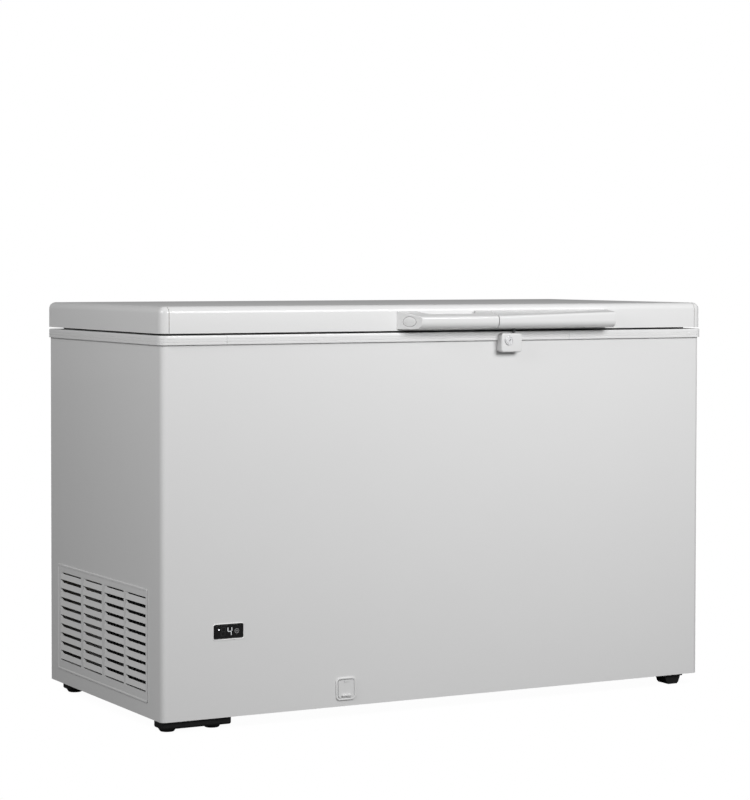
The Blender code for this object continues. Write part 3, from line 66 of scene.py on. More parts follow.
# ---- feet: black polypropylene mouldings, screwed up into the base --------------------------------
# Two long rails with rounded lower edges carry the machine end on two short tapered pads each, and
# two tapered feet the other end. The moulding is satin, and its edges are painted lighter as a highlight.
def shader_group(name, inputs, outputs):
    """An empty shader node group with these inputs and outputs."""
    group = bpy.data.node_groups.new(name, "ShaderNodeTree")
    for label, kind, value in inputs:
        socket = group.interface.new_socket(name=label, in_out="INPUT", socket_type=kind)
        socket.default_value = value
    for label, kind in outputs:
        group.interface.new_socket(name=label, in_out="OUTPUT", socket_type=kind)
    return group, group.nodes.new("NodeGroupInput"), group.nodes.new("NodeGroupOutput")


def node(tree, kind, values=(), **settings):
    """A shader node with its settings, and its inputs set or wired by name or number."""
    made = tree.nodes.new(kind)
    for key, value in settings.items():
        setattr(made, key, value)
    for key, value in dict(values).items():
        if isinstance(value, bpy.types.NodeSocket):
            tree.links.new(value, made.inputs[key])
        else:
            made.inputs[key].default_value = value
    return made


def mixed(tree, factor, first, second):
    """A colour between two colours."""
    made = node(tree, "ShaderNodeMix", {0: factor, 6: first, 7: second}, data_type="RGBA")
    return made.outputs[2]


def worn_and_edge_lit_surface():
    """Moulding or sheet: cloudy tint, edges painted lighter as a highlight, uneven gloss and a fine grain."""
    group, given, out = shader_group("worn surface and painted edge highlight", [
        ("Colour", "NodeSocketColor", (0.8, 0.8, 0.8, 1.0)),
        ("Tint", "NodeSocketColor", (0.7, 0.7, 0.7, 1.0)),
        ("Tint Share", "NodeSocketFloat", 0.3),
        ("Edge Highlight Colour", "NodeSocketColor", (0.9, 0.9, 0.9, 1.0)),
        ("Edge Highlight Share", "NodeSocketFloat", 0.3),
        ("Roughness", "NodeSocketFloat", 0.4),
        ("Roughness Spread", "NodeSocketFloat", 0.08),
        ("Grain Size", "NodeSocketFloat", 900.0),
    ], [
        ("Colour", "NodeSocketColor"), ("Roughness", "NodeSocketFloat"), ("Height", "NodeSocketFloat"),
    ])
    place = node(group, "ShaderNodeTexCoord").outputs["Object"]
    cloud = node(group, "ShaderNodeTexNoise", {"Vector": place, "Scale": 7.0, "Detail": 4.0})
    smear = node(group, "ShaderNodeTexNoise", {"Vector": place, "Scale": 55.0, "Detail": 3.0})
    grain = node(group, "ShaderNodeTexNoise", {
        "Vector": place, "Scale": given.outputs["Grain Size"], "Detail": 2.0,
    })
    rounded_normal = node(group, "ShaderNodeBevel", {"Radius": 0.0012}, samples=4)
    geometry = node(group, "ShaderNodeNewGeometry")
    facing = node(group, "ShaderNodeVectorMath", {
        0: rounded_normal.outputs[0], 1: geometry.outputs["Normal"],
    }, operation="DOT_PRODUCT")
    # Where the rounded normal turns away from the face's own, the edge takes a lighter colour: a painted
    # highlight, broken up by noise.
    edge = node(group, "ShaderNodeMapRange", {
        "Value": facing.outputs["Value"], "From Min": 0.995, "From Max": 0.90, "To Min": 0.0, "To Max": 1.0,
    })
    broken = node(group, "ShaderNodeMath", {
        0: edge.outputs[0], 1: smear.outputs["Fac"],
    }, operation="MULTIPLY")
    edge_highlight_share = node(group, "ShaderNodeMath", {
        0: broken.outputs[0], 1: given.outputs["Edge Highlight Share"],
    }, operation="MULTIPLY", use_clamp=True)
    tint_share = node(group, "ShaderNodeMath", {
        0: cloud.outputs["Fac"], 1: given.outputs["Tint Share"],
    }, operation="MULTIPLY")
    tinted = mixed(group, tint_share.outputs[0], given.outputs["Colour"], given.outputs["Tint"])
    edge_lit = mixed(group, edge_highlight_share.outputs[0], tinted, given.outputs["Edge Highlight Colour"])
    swing = node(group, "ShaderNodeMath", {0: smear.outputs["Fac"], 1: 0.5}, operation="SUBTRACT")
    gloss = node(group, "ShaderNodeMath", {
        0: swing.outputs[0], 1: given.outputs["Roughness Spread"], 2: given.outputs["Roughness"],
    }, operation="MULTIPLY_ADD", use_clamp=True)
    group.links.new(edge_lit, out.inputs["Colour"])
    group.links.new(gloss.outputs[0], out.inputs["Roughness"])
    group.links.new(grain.outputs["Fac"], out.inputs["Height"])
    return group


WORN_AND_EDGE_LIT = worn_and_edge_lit_surface()


def new_material(name):
    made = bpy.data.materials.new(name)
    made.use_nodes = True
    return made, made.node_tree


def rgba(shade):
    return (*(shade if isinstance(shade, tuple) else (shade,) * 3), 1.0)


def finish(name, colour, tint, edge, roughness, grain_size, grain_depth, spread=0.10, tint_share=0.5,
           edge_highlight_share=0.7, metallic=0.0, coat=0.0, relief=None):
    """A worn surface with a painted edge highlight. A grey is one number, and relief(tree) gives a second
    height and its depth.
    """
    made, tree = new_material(name)
    shader = tree.nodes["Principled BSDF"]
    surface = node(tree, "ShaderNodeGroup", node_tree=WORN_AND_EDGE_LIT)
    for label, value in (
        ("Colour", rgba(colour)), ("Tint", rgba(tint)), ("Edge Highlight Colour", rgba(edge)),
        ("Tint Share", tint_share), ("Edge Highlight Share", edge_highlight_share), ("Roughness", roughness),
        ("Roughness Spread", spread), ("Grain Size", grain_size),
    ):
        surface.inputs[label].default_value = value
    tree.links.new(surface.outputs["Colour"], shader.inputs["Base Color"])
    tree.links.new(surface.outputs["Roughness"], shader.inputs["Roughness"])
    bump = node(tree, "ShaderNodeBump", {"Height": surface.outputs["Height"], "Distance": grain_depth})
    if relief:
        height, depth = relief(tree)
        over = node(tree, "ShaderNodeBump", {"Height": height, "Distance": depth})
        tree.links.new(bump.outputs[0], over.inputs["Normal"])
        bump = over
    tree.links.new(bump.outputs[0], shader.inputs["Normal"])
    shader.inputs["Metallic"].default_value = metallic
    shader.inputs["Coat Weight"].default_value = coat
    return made


def dress(material, *names):
    """Gives carried-over nodes their finish."""
    for name in names:
        for part_slot in nodes[name].material_slots:
            part_slot.material = material


def block(low, high):
    bm = bmesh.new()
    bmesh.ops.create_cube(bm, size=1.0)
    low, high = Vector(low), Vector(high)
    bmesh.ops.scale(bm, vec=high - low, verts=bm.verts)
    bmesh.ops.translate(bm, vec=(low + high) / 2, verts=bm.verts)
    return bm


def running(bm, axis):
    """The edges that run along X, Y or Z."""
    number = "XYZ".index(axis)
    return [e for e in bm.edges if abs((e.verts[0].co - e.verts[1].co).normalized()[number]) > 0.999]


def ends_at(bm, test):
    """The edges with both ends where the test on a point says."""
    return [e for e in bm.edges if all(test(v.co) for v in e.verts)]


def rounded_off(bm, edges, radius, segments):
    bmesh.ops.bevel(
        bm, geom=edges, offset=radius, segments=segments, profile=0.5, affect="EDGES", material=-1,
    )
    return bm


def as_object(bm, name="blank"):
    mesh = bpy.data.meshes.new(name)
    bm.to_mesh(mesh)
    bm.free()
    obj = bpy.data.objects.new(name, mesh)
    bpy.context.scene.collection.objects.link(obj)
    return obj


def carved(bm, *tools, operation="DIFFERENCE"):
    """A mesh after cutters have been taken from it or joined to it."""
    target = as_object(bm)
    cutters = [as_object(tool, "cutter") for tool in tools]
    for cutter in cutters:
        cut = target.modifiers.new("cut", "BOOLEAN")
        cut.operation = operation
        cut.solver = "EXACT"
        cut.object = cutter
    shaped = target.evaluated_get(bpy.context.evaluated_depsgraph_get())
    result = bmesh.new()
    result.from_mesh(shaped.to_mesh())
    shaped.to_mesh_clear()
    for made in (target, *cutters):
        mesh = made.data
        bpy.data.objects.remove(made)
        bpy.data.meshes.remove(mesh)
    bmesh.ops.dissolve_degenerate(result, dist=1e-6, edges=result.edges[:])
    return result


def piece(name, bm, material, body, slot, *stands_for, edge=0.0, segments=3, angle=30.0):
    """A finished piece: smooth, with its edges eased if asked, on its body and in place of its nodes."""
    obj = as_object(bm, name)
    obj.data.shade_smooth()
    obj.data.materials.append(material)
    if edge:
        ease = obj.modifiers.new("eased edges", "BEVEL")
        ease.width = edge
        ease.segments = segments
        ease.limit_method = "ANGLE"
        ease.angle_limit = math.radians(angle)
        ease.harden_normals = True
    else:
        obj.data.set_sharp_from_angle(angle=math.radians(angle))
    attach(obj, body)
    if stands_for:
        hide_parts(*stands_for)
    return obj


def rod(start, end, radius, end_radius=None, sides=48):
    bm = bmesh.new()
    start, end = Vector(start), Vector(end)
    run = end - start
    bmesh.ops.create_cone(
        bm, cap_ends=True, segments=sides, radius1=radius,
        radius2=radius if end_radius is None else end_radius, depth=run.length,
    )
    lean = Vector((0, 0, 1)).rotation_difference(run).to_matrix()
    bmesh.ops.rotate(bm, cent=(0, 0, 0), matrix=lean, verts=bm.verts)
    bmesh.ops.translate(bm, vec=(start + end) / 2, verts=bm.verts)
    return bm


# Its edge colour, lighter than the black, is a painted highlight on the rounded edges.
FOOT_BLACK = finish("foot black", (0.004, 0.004, 0.0042), (0.007, 0.007, 0.0072), 0.02, 0.50, 2500.0, 0.00004)
foot_top, pad_h = 0.006, 0.009
rail_round, pad_flat_r, pad_root_r, pad_ease = 0.0045, 0.0140, 0.0200, 0.0012
for rail in ("foot_rail_front", "foot_rail_rear"):
    rail_low, rail_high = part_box(rail)
    beam = block((rail_low.x, rail_low.y, foot_top), rail_high)
    lower_edges = [e for e in beam.edges if any(v.co.z < foot_top + 0.001 for v in e.verts)]
    rounded_off(beam, lower_edges, rail_round, 5)
    pads = []
    for pad_x in (rail_low.x + 0.020, rail_high.x - 0.034):
        pad_at = Vector((pad_x, (rail_low.y + rail_high.y) / 2, 0.0))
        pad = rod(pad_at, pad_at + Vector((0, 0, pad_h)), pad_flat_r, pad_root_r)
        rounded_off(pad, ends_at(pad, lambda p: p.z < 1e-6), pad_ease, 3)
        pads.append(pad)
    beam = carved(beam, *pads, operation="UNION")
    piece(f"{rail}_moulding", beam, FOOT_BLACK, "cabinet", "black_plastic", rail, angle=40.0)
dress(FOOT_BLACK, "foot_front_right", "foot_rear_right")


# ---- base: folded galvanised sheet, with the machine end on a thicker tray ------------------------
# Both are spot-welded between the cabinet's walls. The zinc shows its crystal flakes, dull where it
# has weathered.
def flakes():
    """Zinc crystals: flat patches, each with its own shade and gloss."""
    group, given, out = shader_group("zinc flakes", [
        ("Size", "NodeSocketFloat", 90.0), ("Dark", "NodeSocketColor", (0.4, 0.4, 0.4, 1.0)),
        ("Light", "NodeSocketColor", (0.7, 0.7, 0.7, 1.0)),
    ], [("Colour", "NodeSocketColor"), ("Roughness", "NodeSocketFloat"), ("Height", "NodeSocketFloat")])
    place = node(group, "ShaderNodeTexCoord").outputs["Object"]
    cell = node(group, "ShaderNodeTexVoronoi", {"Vector": place, "Scale": given.outputs["Size"]})
    shade = node(group, "ShaderNodeSeparateColor", {"Color": cell.outputs["Color"]})
    blend = mixed(group, shade.outputs[0], given.outputs["Dark"], given.outputs["Light"])
    gloss = node(group, "ShaderNodeMapRange", {"Value": shade.outputs[1], "To Min": 0.30, "To Max": 0.50})
    group.links.new(blend, out.inputs["Colour"])
    group.links.new(gloss.outputs[0], out.inputs["Roughness"])
    group.links.new(cell.outputs["Distance"], out.inputs["Height"])
    return group


FLAKES = flakes()


def zinc_finish(name, size, dark, light):
    made, tree = new_material(name)
    shader = tree.nodes["Principled BSDF"]
    surface = node(tree, "ShaderNodeGroup", node_tree=FLAKES)
    surface.inputs["Size"].default_value = size
    surface.inputs["Dark"].default_value = (*dark, 1.0)
    surface.inputs["Light"].default_value = (*light, 1.0)
    tree.links.new(surface.outputs["Colour"], shader.inputs["Base Color"])
    tree.links.new(surface.outputs["Roughness"], shader.inputs["Roughness"])
    bump = node(tree, "ShaderNodeBump", {"Height": surface.outputs["Height"], "Distance": 0.0001})
    tree.links.new(bump.outputs[0], shader.inputs["Normal"])
    shader.inputs["Metallic"].default_value = 1.0
    return made


GALVANISED = zinc_finish("galvanised sheet", 90.0, (0.46, 0.47, 0.48), (0.66, 0.67, 0.68))
dress(GALVANISED, "base_plate", "compressor_tray")


# ---- outer shell: one sheet of 1 mm prepainted steel, folded round the front corners --------------
# It has openings punched for the thermostat, the drain and the side grille.
# The paint is a white polyester with a very slight orange peel.
def plate(low, high, axis, radius, segments=8):
    """A block whose four edges along one axis are round."""
    bm = block(low, high)
    return rounded_off(bm, running(bm, axis), radius, segments)


def take_off(bm, unwanted):
    """Deletes the faces that the test picks."""
    bmesh.ops.delete(bm, geom=[f for f in bm.faces if unwanted(f)], context="FACES")


def grown(low, high, by):
    """A box's corners moved out by this much each way."""
    by = Vector(by)
    return Vector(low) - by, Vector(high) + by


def closed_sheet(bm, thickness, offset):
    """An open surface turned into sheet of this thickness, outside it (1) or inside it (-1)."""
    blank = as_object(bm)
    wall = blank.modifiers.new("sheet", "SOLIDIFY")
    wall.thickness = thickness
    wall.offset = offset
    made = blank.evaluated_get(bpy.context.evaluated_depsgraph_get())
    result = bmesh.new()
    result.from_mesh(made.to_mesh())
    bpy.data.objects.remove(blank)
    return result


WHITE_PAINT = finish("white paint", 0.80, 0.77, 0.86, 0.33, 650.0, 0.00003, spread=0.08, coat=0.12)
shell_low, shell_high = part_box("outer_shell")
shell = block(shell_low, shell_high)
take_off(shell, lambda f: abs(f.normal.z) > 0.5 or f.normal.y > 0.5)
rounded_off(shell, [e for e in running(shell, "Z") if e.verts[0].co.y < 0], 0.012, 10)
bmesh.ops.recalc_face_normals(shell, faces=shell.faces)
if sum(f.normal.dot(f.calc_center_median() - (shell_low + shell_high) / 2) for f in shell.faces) < 0:
    bmesh.ops.reverse_faces(shell, faces=shell.faces)
solid = closed_sheet(shell, 0.001, -1.0)
bezel_low, bezel_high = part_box("controller_bezel")
drain_low, drain_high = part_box("drain_bezel")
grille_low, grille_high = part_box("side_grille")
display_hole = plate(*grown(bezel_low, bezel_high, (0.0003, 0.010, 0.0003)), "Y", 0.0043)
drain_hole = plate(*grown(drain_low, drain_high, (-0.0027, 0.010, -0.0027)), "Y", 0.0073)
grille_hole = block(*grown(grille_low, grille_high, (0.010, -0.0065, -0.0065)))
solid = carved(solid, display_hole, drain_hole, grille_hole)
piece("cabinet_shell", solid, WHITE_PAINT, "cabinet", "white_steel", "outer_shell")


# ---- rear panel: a flat painted sheet with vent slots and a hole for the cable gland --------------
# Each slot has a half-round hood pressed out over it, so that drips stay out.
def gathered(*shapes):
    """Several shapes in one mesh."""
    bm = bmesh.new()
    for made in shapes:
        mesh = bpy.data.meshes.new("shape")
        made.to_mesh(mesh)
        made.free()
        bm.from_mesh(mesh)
        bpy.data.meshes.remove(mesh)
    return bm


panel_low, panel_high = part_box("rear_panel")
panel = block(panel_low, panel_high)
vent_left, vent_right, vent_h, vent_pitch, first_vent_top = -0.600, -0.400, 0.006, 0.024, 0.292
hood_side, hood_drop, hood_rise, hood_out, through = 0.002, 0.0025, 0.0045, 0.0060, 0.01
back_y = panel_high.y
vents, hoods = [], []
for row in range(6):
    vent_top = first_vent_top - vent_pitch * row
    vents.append(block(
        (vent_left, panel_low.y - through, vent_top - vent_h), (vent_right, back_y + through, vent_top),
    ))
    hood = block(
        (vent_left - hood_side, back_y - 0.0002, vent_top - vent_h - hood_drop),
        (vent_right + hood_side, back_y + hood_out, vent_top + hood_rise),
    )
    rounded_off(hood, ends_at(hood, lambda p: p.y > back_y and p.z > vent_top), 0.0058, 6)
    take_off(hood, lambda f: f.normal.z < -0.9 or f.normal.y < -0.9)
    hoods.append(hood)
gland_low, gland_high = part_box("cable_gland")
gland_x, gland_z = (gland_low.x + gland_high.x) / 2, (gland_low.z + gland_high.z) / 2
vents.append(rod((gland_x, panel_low.y - through, gland_z), (gland_x, back_y + through, gland_z), 0.0083))
panel = carved(panel, gathered(*vents))
piece("back_panel", panel, WHITE_PAINT, "cabinet", "white_steel", "rear_panel")
piece("vent_hoods", closed_sheet(gathered(*hoods), 0.0008, -1.0), WHITE_PAINT, "cabinet", "white_steel")


# ---- insulation: polyurethane foamed in place between the shell and the tank ----------------------
# It is yellow-cream and full of small closed cells, with a crust where it met the sheet.
def cells(tree):
    place = node(tree, "ShaderNodeTexCoord").outputs["Object"]
    cell = node(tree, "ShaderNodeTexVoronoi", {"Vector": place, "Scale": 420.0})
    return cell.outputs["Distance"], 0.0008


FOAM = finish(
    "cream foam", (0.80, 0.70, 0.44), (0.64, 0.52, 0.28), (0.85, 0.76, 0.52), 0.85, 300.0, 0.0004,
    relief=cells,
)
dress(FOAM, "foam_insulation", "lid_foam")


# ---- tank: a liner of stucco-embossed aluminium, painted white, folded with round edges ------------
# The floor steps up over the machine compartment, and has the drain's hole in it.
def stucco(tree):
    place = node(tree, "ShaderNodeTexCoord").outputs["Object"]
    bent = node(tree, "ShaderNodeTexNoise", {"Vector": place, "Scale": 130.0, "Detail": 1.0})
    cell = node(tree, "ShaderNodeTexVoronoi", {
        "Vector": place, "Scale": 170.0, "Smoothness": 0.6,
    }, feature="SMOOTH_F1")
    height = node(tree, "ShaderNodeMath", {
        0: cell.outputs["Distance"], 1: bent.outputs["Fac"],
    }, operation="ADD")
    return height.outputs[0], 0.0006


LINER_WHITE = finish(
    "stucco liner", (0.80, 0.81, 0.82), (0.74, 0.75, 0.76), (0.86, 0.86, 0.87), 0.30, 900.0, 0.00002,
    coat=0.1, relief=stucco,
)
tank_low, tank_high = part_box("inner_liner")
skin_t = 0.001
step_x, step_z = -0.295, 0.377
tank = bmesh.new()
outline = [
    (tank_low.x + skin_t, tank_high.z), (tank_low.x + skin_t, step_z), (step_x, step_z),
    (step_x, tank_low.z + skin_t), (tank_high.x - skin_t, tank_low.z + skin_t),
    (tank_high.x - skin_t, tank_high.z),
]
wall_front = tank_low.y + skin_t
profile_face = tank.faces.new([tank.verts.new((x, wall_front, z)) for x, z in outline])
pulled = bmesh.ops.extrude_face_region(tank, geom=[profile_face])["geom"]
bmesh.ops.translate(
    tank, vec=(0, tank_high.y - tank_low.y - 2 * skin_t, 0),
    verts=[item for item in pulled if isinstance(item, bmesh.types.BMVert)],
)
bmesh.ops.recalc_face_normals(tank, faces=tank.faces)
folds = [
    e for e in tank.edges
    if e.calc_face_angle_signed() > 0 and any(v.co.z < tank_high.z - 0.001 for v in e.verts)
]
rounded_off(tank, folds, 0.020, 8)
take_off(tank, lambda f: f.calc_center_median().z > tank_high.z - 1e-4)
tank = closed_sheet(tank, skin_t, 1.0)
plug_low, plug_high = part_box("drain_plug")
inlet = Vector(((plug_low.x + plug_high.x) / 2, (plug_low.y + plug_high.y) / 2, tank_low.z))
up_a_bit = Vector((0, 0, 0.010))
tank = carved(tank, rod(inlet - up_a_bit, inlet + up_a_bit, 0.011))
piece("tank_liner", tank, LINER_WHITE, "cabinet", "tank_liner", "inner_liner")


# ---- evaporator: copper tube wound round the tank and foamed in ----------------------------------
# The copper has dulled, with brown patches where flux and fingers have been.
COPPER = finish(
    "copper tube", (0.72, 0.38, 0.22), (0.40, 0.19, 0.10), (0.85, 0.52, 0.33), 0.32, 1200.0, 0.00003,
    metallic=1.0, tint_share=0.9,
)
dress(COPPER, "evaporator_coil", "condenser_tube", "discharge_line", "filter_drier")


# ---- drain: a white moulded ring snapped into the front, with a flap over its spout ----------------
# The flap turns on two pips at its top, and has a lip for a finger. The pipe goes up to the tank's
# floor, where a rubber plug closes it.
def swept(profile, low, high, radius, segments=8, tightest=0.0006):
    """A closed section of (inset, height) points carried round a rectangle with round corners."""
    bm = bmesh.new()
    rings = []
    for inset, height in profile:
        bend = max(radius - inset, tightest)
        near_x, far_x = low[0] + inset + bend, high[0] - inset - bend
        near_y, far_y = low[1] + inset + bend, high[1] - inset - bend
        ring = []
        hearts = (near_x, near_y), (far_x, near_y), (far_x, far_y), (near_x, far_y)
        for corner, (x, y) in enumerate(hearts):
            for step in range(segments + 1):
                angle = math.radians(180 + 90 * (corner + step / segments))
                ring.append(bm.verts.new((x + bend * math.cos(angle), y + bend * math.sin(angle), height)))
        rings.append(ring)
    for first, second in zip(rings, rings[1:] + rings[:1]):
        for here, onward in zip(range(len(first)), [*range(1, len(first)), 0]):
            bm.faces.new((first[here], first[onward], second[onward], second[here]))
    bmesh.ops.recalc_face_normals(bm, faces=bm.faces)
    return bm


def facing_front(bm, y):
    """Stands a flat-lying shape up: its height points out of the front, from this depth."""
    bmesh.ops.rotate(bm, cent=(0, 0, 0), matrix=Matrix.Rotation(math.radians(90), 3, "X"), verts=bm.verts)
    bmesh.ops.translate(bm, vec=(0, y, 0), verts=bm.verts)
    return bm


front_y = shell_low.y
FITTING_WHITE = finish("white moulding", 0.80, 0.75, 0.86, 0.36, 1600.0, 0.00004)
cup_inset, cup_depth, cup_wall = 0.0034, 0.0220, 0.0020
drain_size = (drain_low.x, drain_low.z), (drain_high.x, drain_high.z)
ring_face, ring_back = 0.0025, 0.0003
drain_ring = facing_front(swept([
    (0.0, ring_back), (0.0, 0.0012), (0.0004, 0.0020), (0.0013, ring_face), (0.0034, ring_face),
    (0.0043, 0.0020), (0.0050, 0.0004), (0.0050, -cup_depth), (0.0032, -cup_depth), (0.0032, ring_back),
], *drain_size, 0.010), front_y)
cup_back = block(
    (drain_low.x + cup_inset, front_y + cup_depth, drain_low.z + cup_inset),
    (drain_high.x - cup_inset, front_y + cup_depth + cup_wall, drain_high.z - cup_inset),
)
middle_x, middle_z = (drain_low.x + drain_high.x) / 2, (drain_low.z + drain_high.z) / 2
pipe_hole = rod((middle_x, front_y, middle_z), (middle_x, front_y + 0.05, middle_z), 0.0103)
cup_back = carved(cup_back, pipe_hole)
piece("drain_ring", drain_ring, FITTING_WHITE, "cabinet", "drain_plastic", "drain_bezel")
piece("drain_cup_back", cup_back, FITTING_WHITE, "cabinet", "drain_plastic")
flap_low, flap_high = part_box("drain_flap")
flap = plate(
    (flap_low.x, front_y - 0.0020, flap_low.z), (flap_high.x, front_y - 0.0003, flap_high.z), "Y", 0.0045,
)
hinge_tab = plate(
    (middle_x - 0.0048, front_y - 0.0030, flap_high.z - 0.0042),
    (middle_x + 0.0048, front_y - 0.0008, flap_high.z),
    "Y", 0.0012, 4,
)
lip = plate(
    (middle_x - 0.010, flap_low.y, flap_low.z + 0.0032),
    (middle_x + 0.010, front_y - 0.0012, flap_low.z + 0.0066),
    "Y", 0.0013, 4,
)
flap = carved(flap, hinge_tab, lip, operation="UNION")
finger_slot = plate(
    (middle_x - 0.0105, front_y - 0.0200, flap_low.z + 0.0006),
    (middle_x + 0.0105, front_y - 0.0010, flap_low.z + 0.0028),
    "Y", 0.0010, 4,
)
flap = carved(flap, finger_slot)
piece("drain_cover", flap, FITTING_WHITE, "drain_flap", "drain_plastic", "drain_flap", edge=0.0004)
dress(FITTING_WHITE, "drain_pipe")
PLUG_RUBBER = finish(
    "grey rubber", (0.30, 0.30, 0.31), (0.22, 0.22, 0.23), (0.40, 0.40, 0.41), 0.70, 1500.0, 0.00008,
)
dress(PLUG_RUBBER, "drain_plug")


# ---- collar: a white extrusion round the opening, in four lengths with butt joints ----------------
# Its outer face has two fine grooves under a round top edge, and its inner edge a ledge on which
# the basket hangs.
collar_low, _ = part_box("collar_left")
_, collar_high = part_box("collar_right")
foot_z, top_z = collar_low.z, collar_high.z
inner = 0.063
nose = [
    (0.0, foot_z), (0.0, foot_z + 0.0042), (0.0005, foot_z + 0.0046), (0.0005, foot_z + 0.0051),
    (0.0, foot_z + 0.0055), (0.0, foot_z + 0.0098), (0.0005, foot_z + 0.0102), (0.0005, foot_z + 0.0107),
    (0.0, foot_z + 0.0111), (0.0, top_z - 0.0022), (0.0003, top_z - 0.0011), (0.0011, top_z - 0.0003),
    (0.0022, top_z),
]
ledge = top_z - 0.006
collar_profile = nose + [
    (inner - 0.0130, top_z), (inner - 0.0120, top_z - 0.001), (inner - 0.0120, ledge), (inner - 0.001, ledge),
    (inner, ledge - 0.001), (inner, foot_z), (inner - 0.003, foot_z), (inner - 0.003, ledge - 0.003),
    (inner - 0.015, ledge - 0.003), (inner - 0.015, top_z - 0.003), (0.003, top_z - 0.003), (0.003, foot_z),
]
COLLAR_WHITE = finish("collar white", 0.80, 0.76, 0.88, 0.30, 1100.0, 0.00003, coat=0.1)


def split(bm, point, normal, **options):
    """Cuts the faces along a plane, and returns what lies in the cut."""
    everything = bm.verts[:] + bm.edges[:] + bm.faces[:]
    return bmesh.ops.bisect_plane(bm, geom=everything, plane_co=point, plane_no=normal, **options)["geom_cut"]


def kept_side(bm, point, normal):
    """Cuts along a plane, drops what the normal points to, and closes the cut."""
    cut = split(bm, point, normal, clear_outer=True, dist=1e-7)
    rim = [item for item in cut if isinstance(item, bmesh.types.BMEdge)]
    bmesh.ops.holes_fill(bm, edges=rim, sides=0)
    return bm


joint_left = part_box("collar_left")[1].x
joint_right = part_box("collar_right")[0].x
seam = 0.0006
between_joints = [((joint_left + seam, 0, 0), (-1, 0, 0)), ((joint_right - seam, 0, 0), (1, 0, 0))]
for name, cuts in {
    "collar_left": [((joint_left, 0, 0), (1, 0, 0))],
    "collar_right": [((joint_right, 0, 0), (-1, 0, 0))],
    "collar_front": [*between_joints, ((0, 0, 0), (0, 1, 0))],
    "collar_rear": [*between_joints, ((0, 0, 0), (0, -1, 0))],
}.items():
    length = swept(collar_profile, (collar_low.x, collar_low.y), (collar_high.x, collar_high.y), 0.017)
    for point, normal in cuts:
        kept_side(length, point, normal)
    piece(f"{name}_trim", length, COLLAR_WHITE, "cabinet", "white_plastic", name, angle=25.0)


# ---- side grille: a white moulding clipped over the machine compartment's opening -----------------
# A thin raised border runs round four columns of ten blades, with eleven slots between them. Each
# blade leans inwards, and at its rear end its top rises, so that the slot closes to a point.
def facing_left(bm, x):
    """Turns a shape that faces the front to face the left, from this place across."""
    bmesh.ops.rotate(bm, cent=(0, 0, 0), matrix=Matrix.Rotation(math.radians(-90), 3, "Z"), verts=bm.verts)
    bmesh.ops.translate(bm, vec=(x, 0, 0), verts=bm.verts)
    return bm


side_x = shell_low.x
grille_size = (-grille_high.y, grille_low.z), (-grille_low.y, grille_high.z)
grille_frame = facing_left(facing_front(swept([
    (0.0, 0.0003), (0.0, 0.0014), (0.0006, 0.0020), (0.0036, 0.0020), (0.0048, 0.0008), (0.0054, 0.0006),
    (0.0054, 0.0003),
], *grille_size, 0.005), 0.0), side_x)
field = block((side_x - 0.0012, grille_low.y + 0.0030, grille_low.z + 0.0030),
              (side_x - 0.0003, grille_high.y - 0.0030, grille_high.z - 0.0030))
backing = block((side_x - 0.0009, grille_low.y + 0.0068, grille_low.z + 0.0068),
                (side_x + 0.0030, grille_high.y - 0.0068, grille_high.z - 0.0068))
field = carved(field, backing, operation="UNION")
columns = (0.077, 0.180), (0.190, 0.292), (0.308, 0.410), (0.424, 0.541)
row_low, row_high, rows = grille_low.z + 0.0205, grille_low.z + 0.2125, 10
pitch = (row_high - row_low) / rows
slot_h, point_l, point_rise, blade_lean, blade_t = 0.0074, 0.012, 0.7, 0.0024, 0.0012
blade_out, blade_lap = 0.0018, 0.0008
windows = [
    plate(
        (side_x - 0.010, front_y + start, row_low), (side_x + 0.020, front_y + end, row_high), "X", 0.0006, 2,
    )
    for start, end in columns
]
field = carved(field, gathered(*windows))
blades = []
for start, end in columns:
    for row in range(rows):
        base_z = row_low + row * pitch + slot_h / 2
        tip_z = base_z + pitch - slot_h
        blade = block(
            (side_x - blade_out, front_y + start - blade_lap, base_z),
            (side_x - blade_out + blade_t, front_y + end + blade_lap, tip_z),
        )
        split(blade, (0, front_y + end - point_l, 0), (0, 1, 0))
        upper = [v for v in blade.verts if v.co.z > tip_z - 1e-6]
        bmesh.ops.translate(blade, vec=(blade_lean, 0, 0), verts=upper)
        bmesh.ops.translate(
            blade, vec=(0, 0, slot_h * point_rise), verts=[v for v in upper if v.co.y > front_y + end],
        )
        blades.append(blade)
piece("grille_blades", gathered(*blades), FITTING_WHITE, "cabinet", "white_plastic", edge=0.0003, segments=2)
piece("grille_border", grille_frame, FITTING_WHITE, "cabinet", "white_plastic")
piece("grille_louvres", field, FITTING_WHITE, "cabinet", "white_plastic", "side_grille", edge=0.0003,
      segments=2)


# ---- thermostat: a black bezel snapped into the front, with a sunk glossy window ------------------
# A thin white rim goes round the bezel. Behind the window a seven-segment digit and a dot light up,
# beside an unlit digit, and a round key with a minus stands in a hole through it.
BEZEL_BLACK = finish(
    "bezel black", (0.010, 0.010, 0.0105), (0.007, 0.007, 0.0075), 0.10, 0.36, 2500.0, 0.00003,
)
WINDOW_BLACK = finish(
    "window black", (0.006, 0.006, 0.0065), (0.009, 0.009, 0.0095), 0.03, 0.16, 300.0, 0.000005,
    spread=0.05, coat=0.2,
)
bezel_size = (bezel_low.x, bezel_low.z), (bezel_high.x, bezel_high.z)
bezel = facing_front(swept([
    (0.0, -0.0003), (0.0006, -0.0003), (0.0011, -0.0004), (0.0021, -0.0016), (0.0021, -0.0117),
    (0.0, -0.0117),
], *bezel_size, 0.0026), front_y)
piece("thermostat_bezel", bezel, BEZEL_BLACK, "cabinet", "black_plastic", "controller_bezel", angle=50.0)
key_low, key_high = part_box("controller_key")
key_x, key_z = (key_low.x + key_high.x) / 2, (key_low.z + key_high.z) / 2
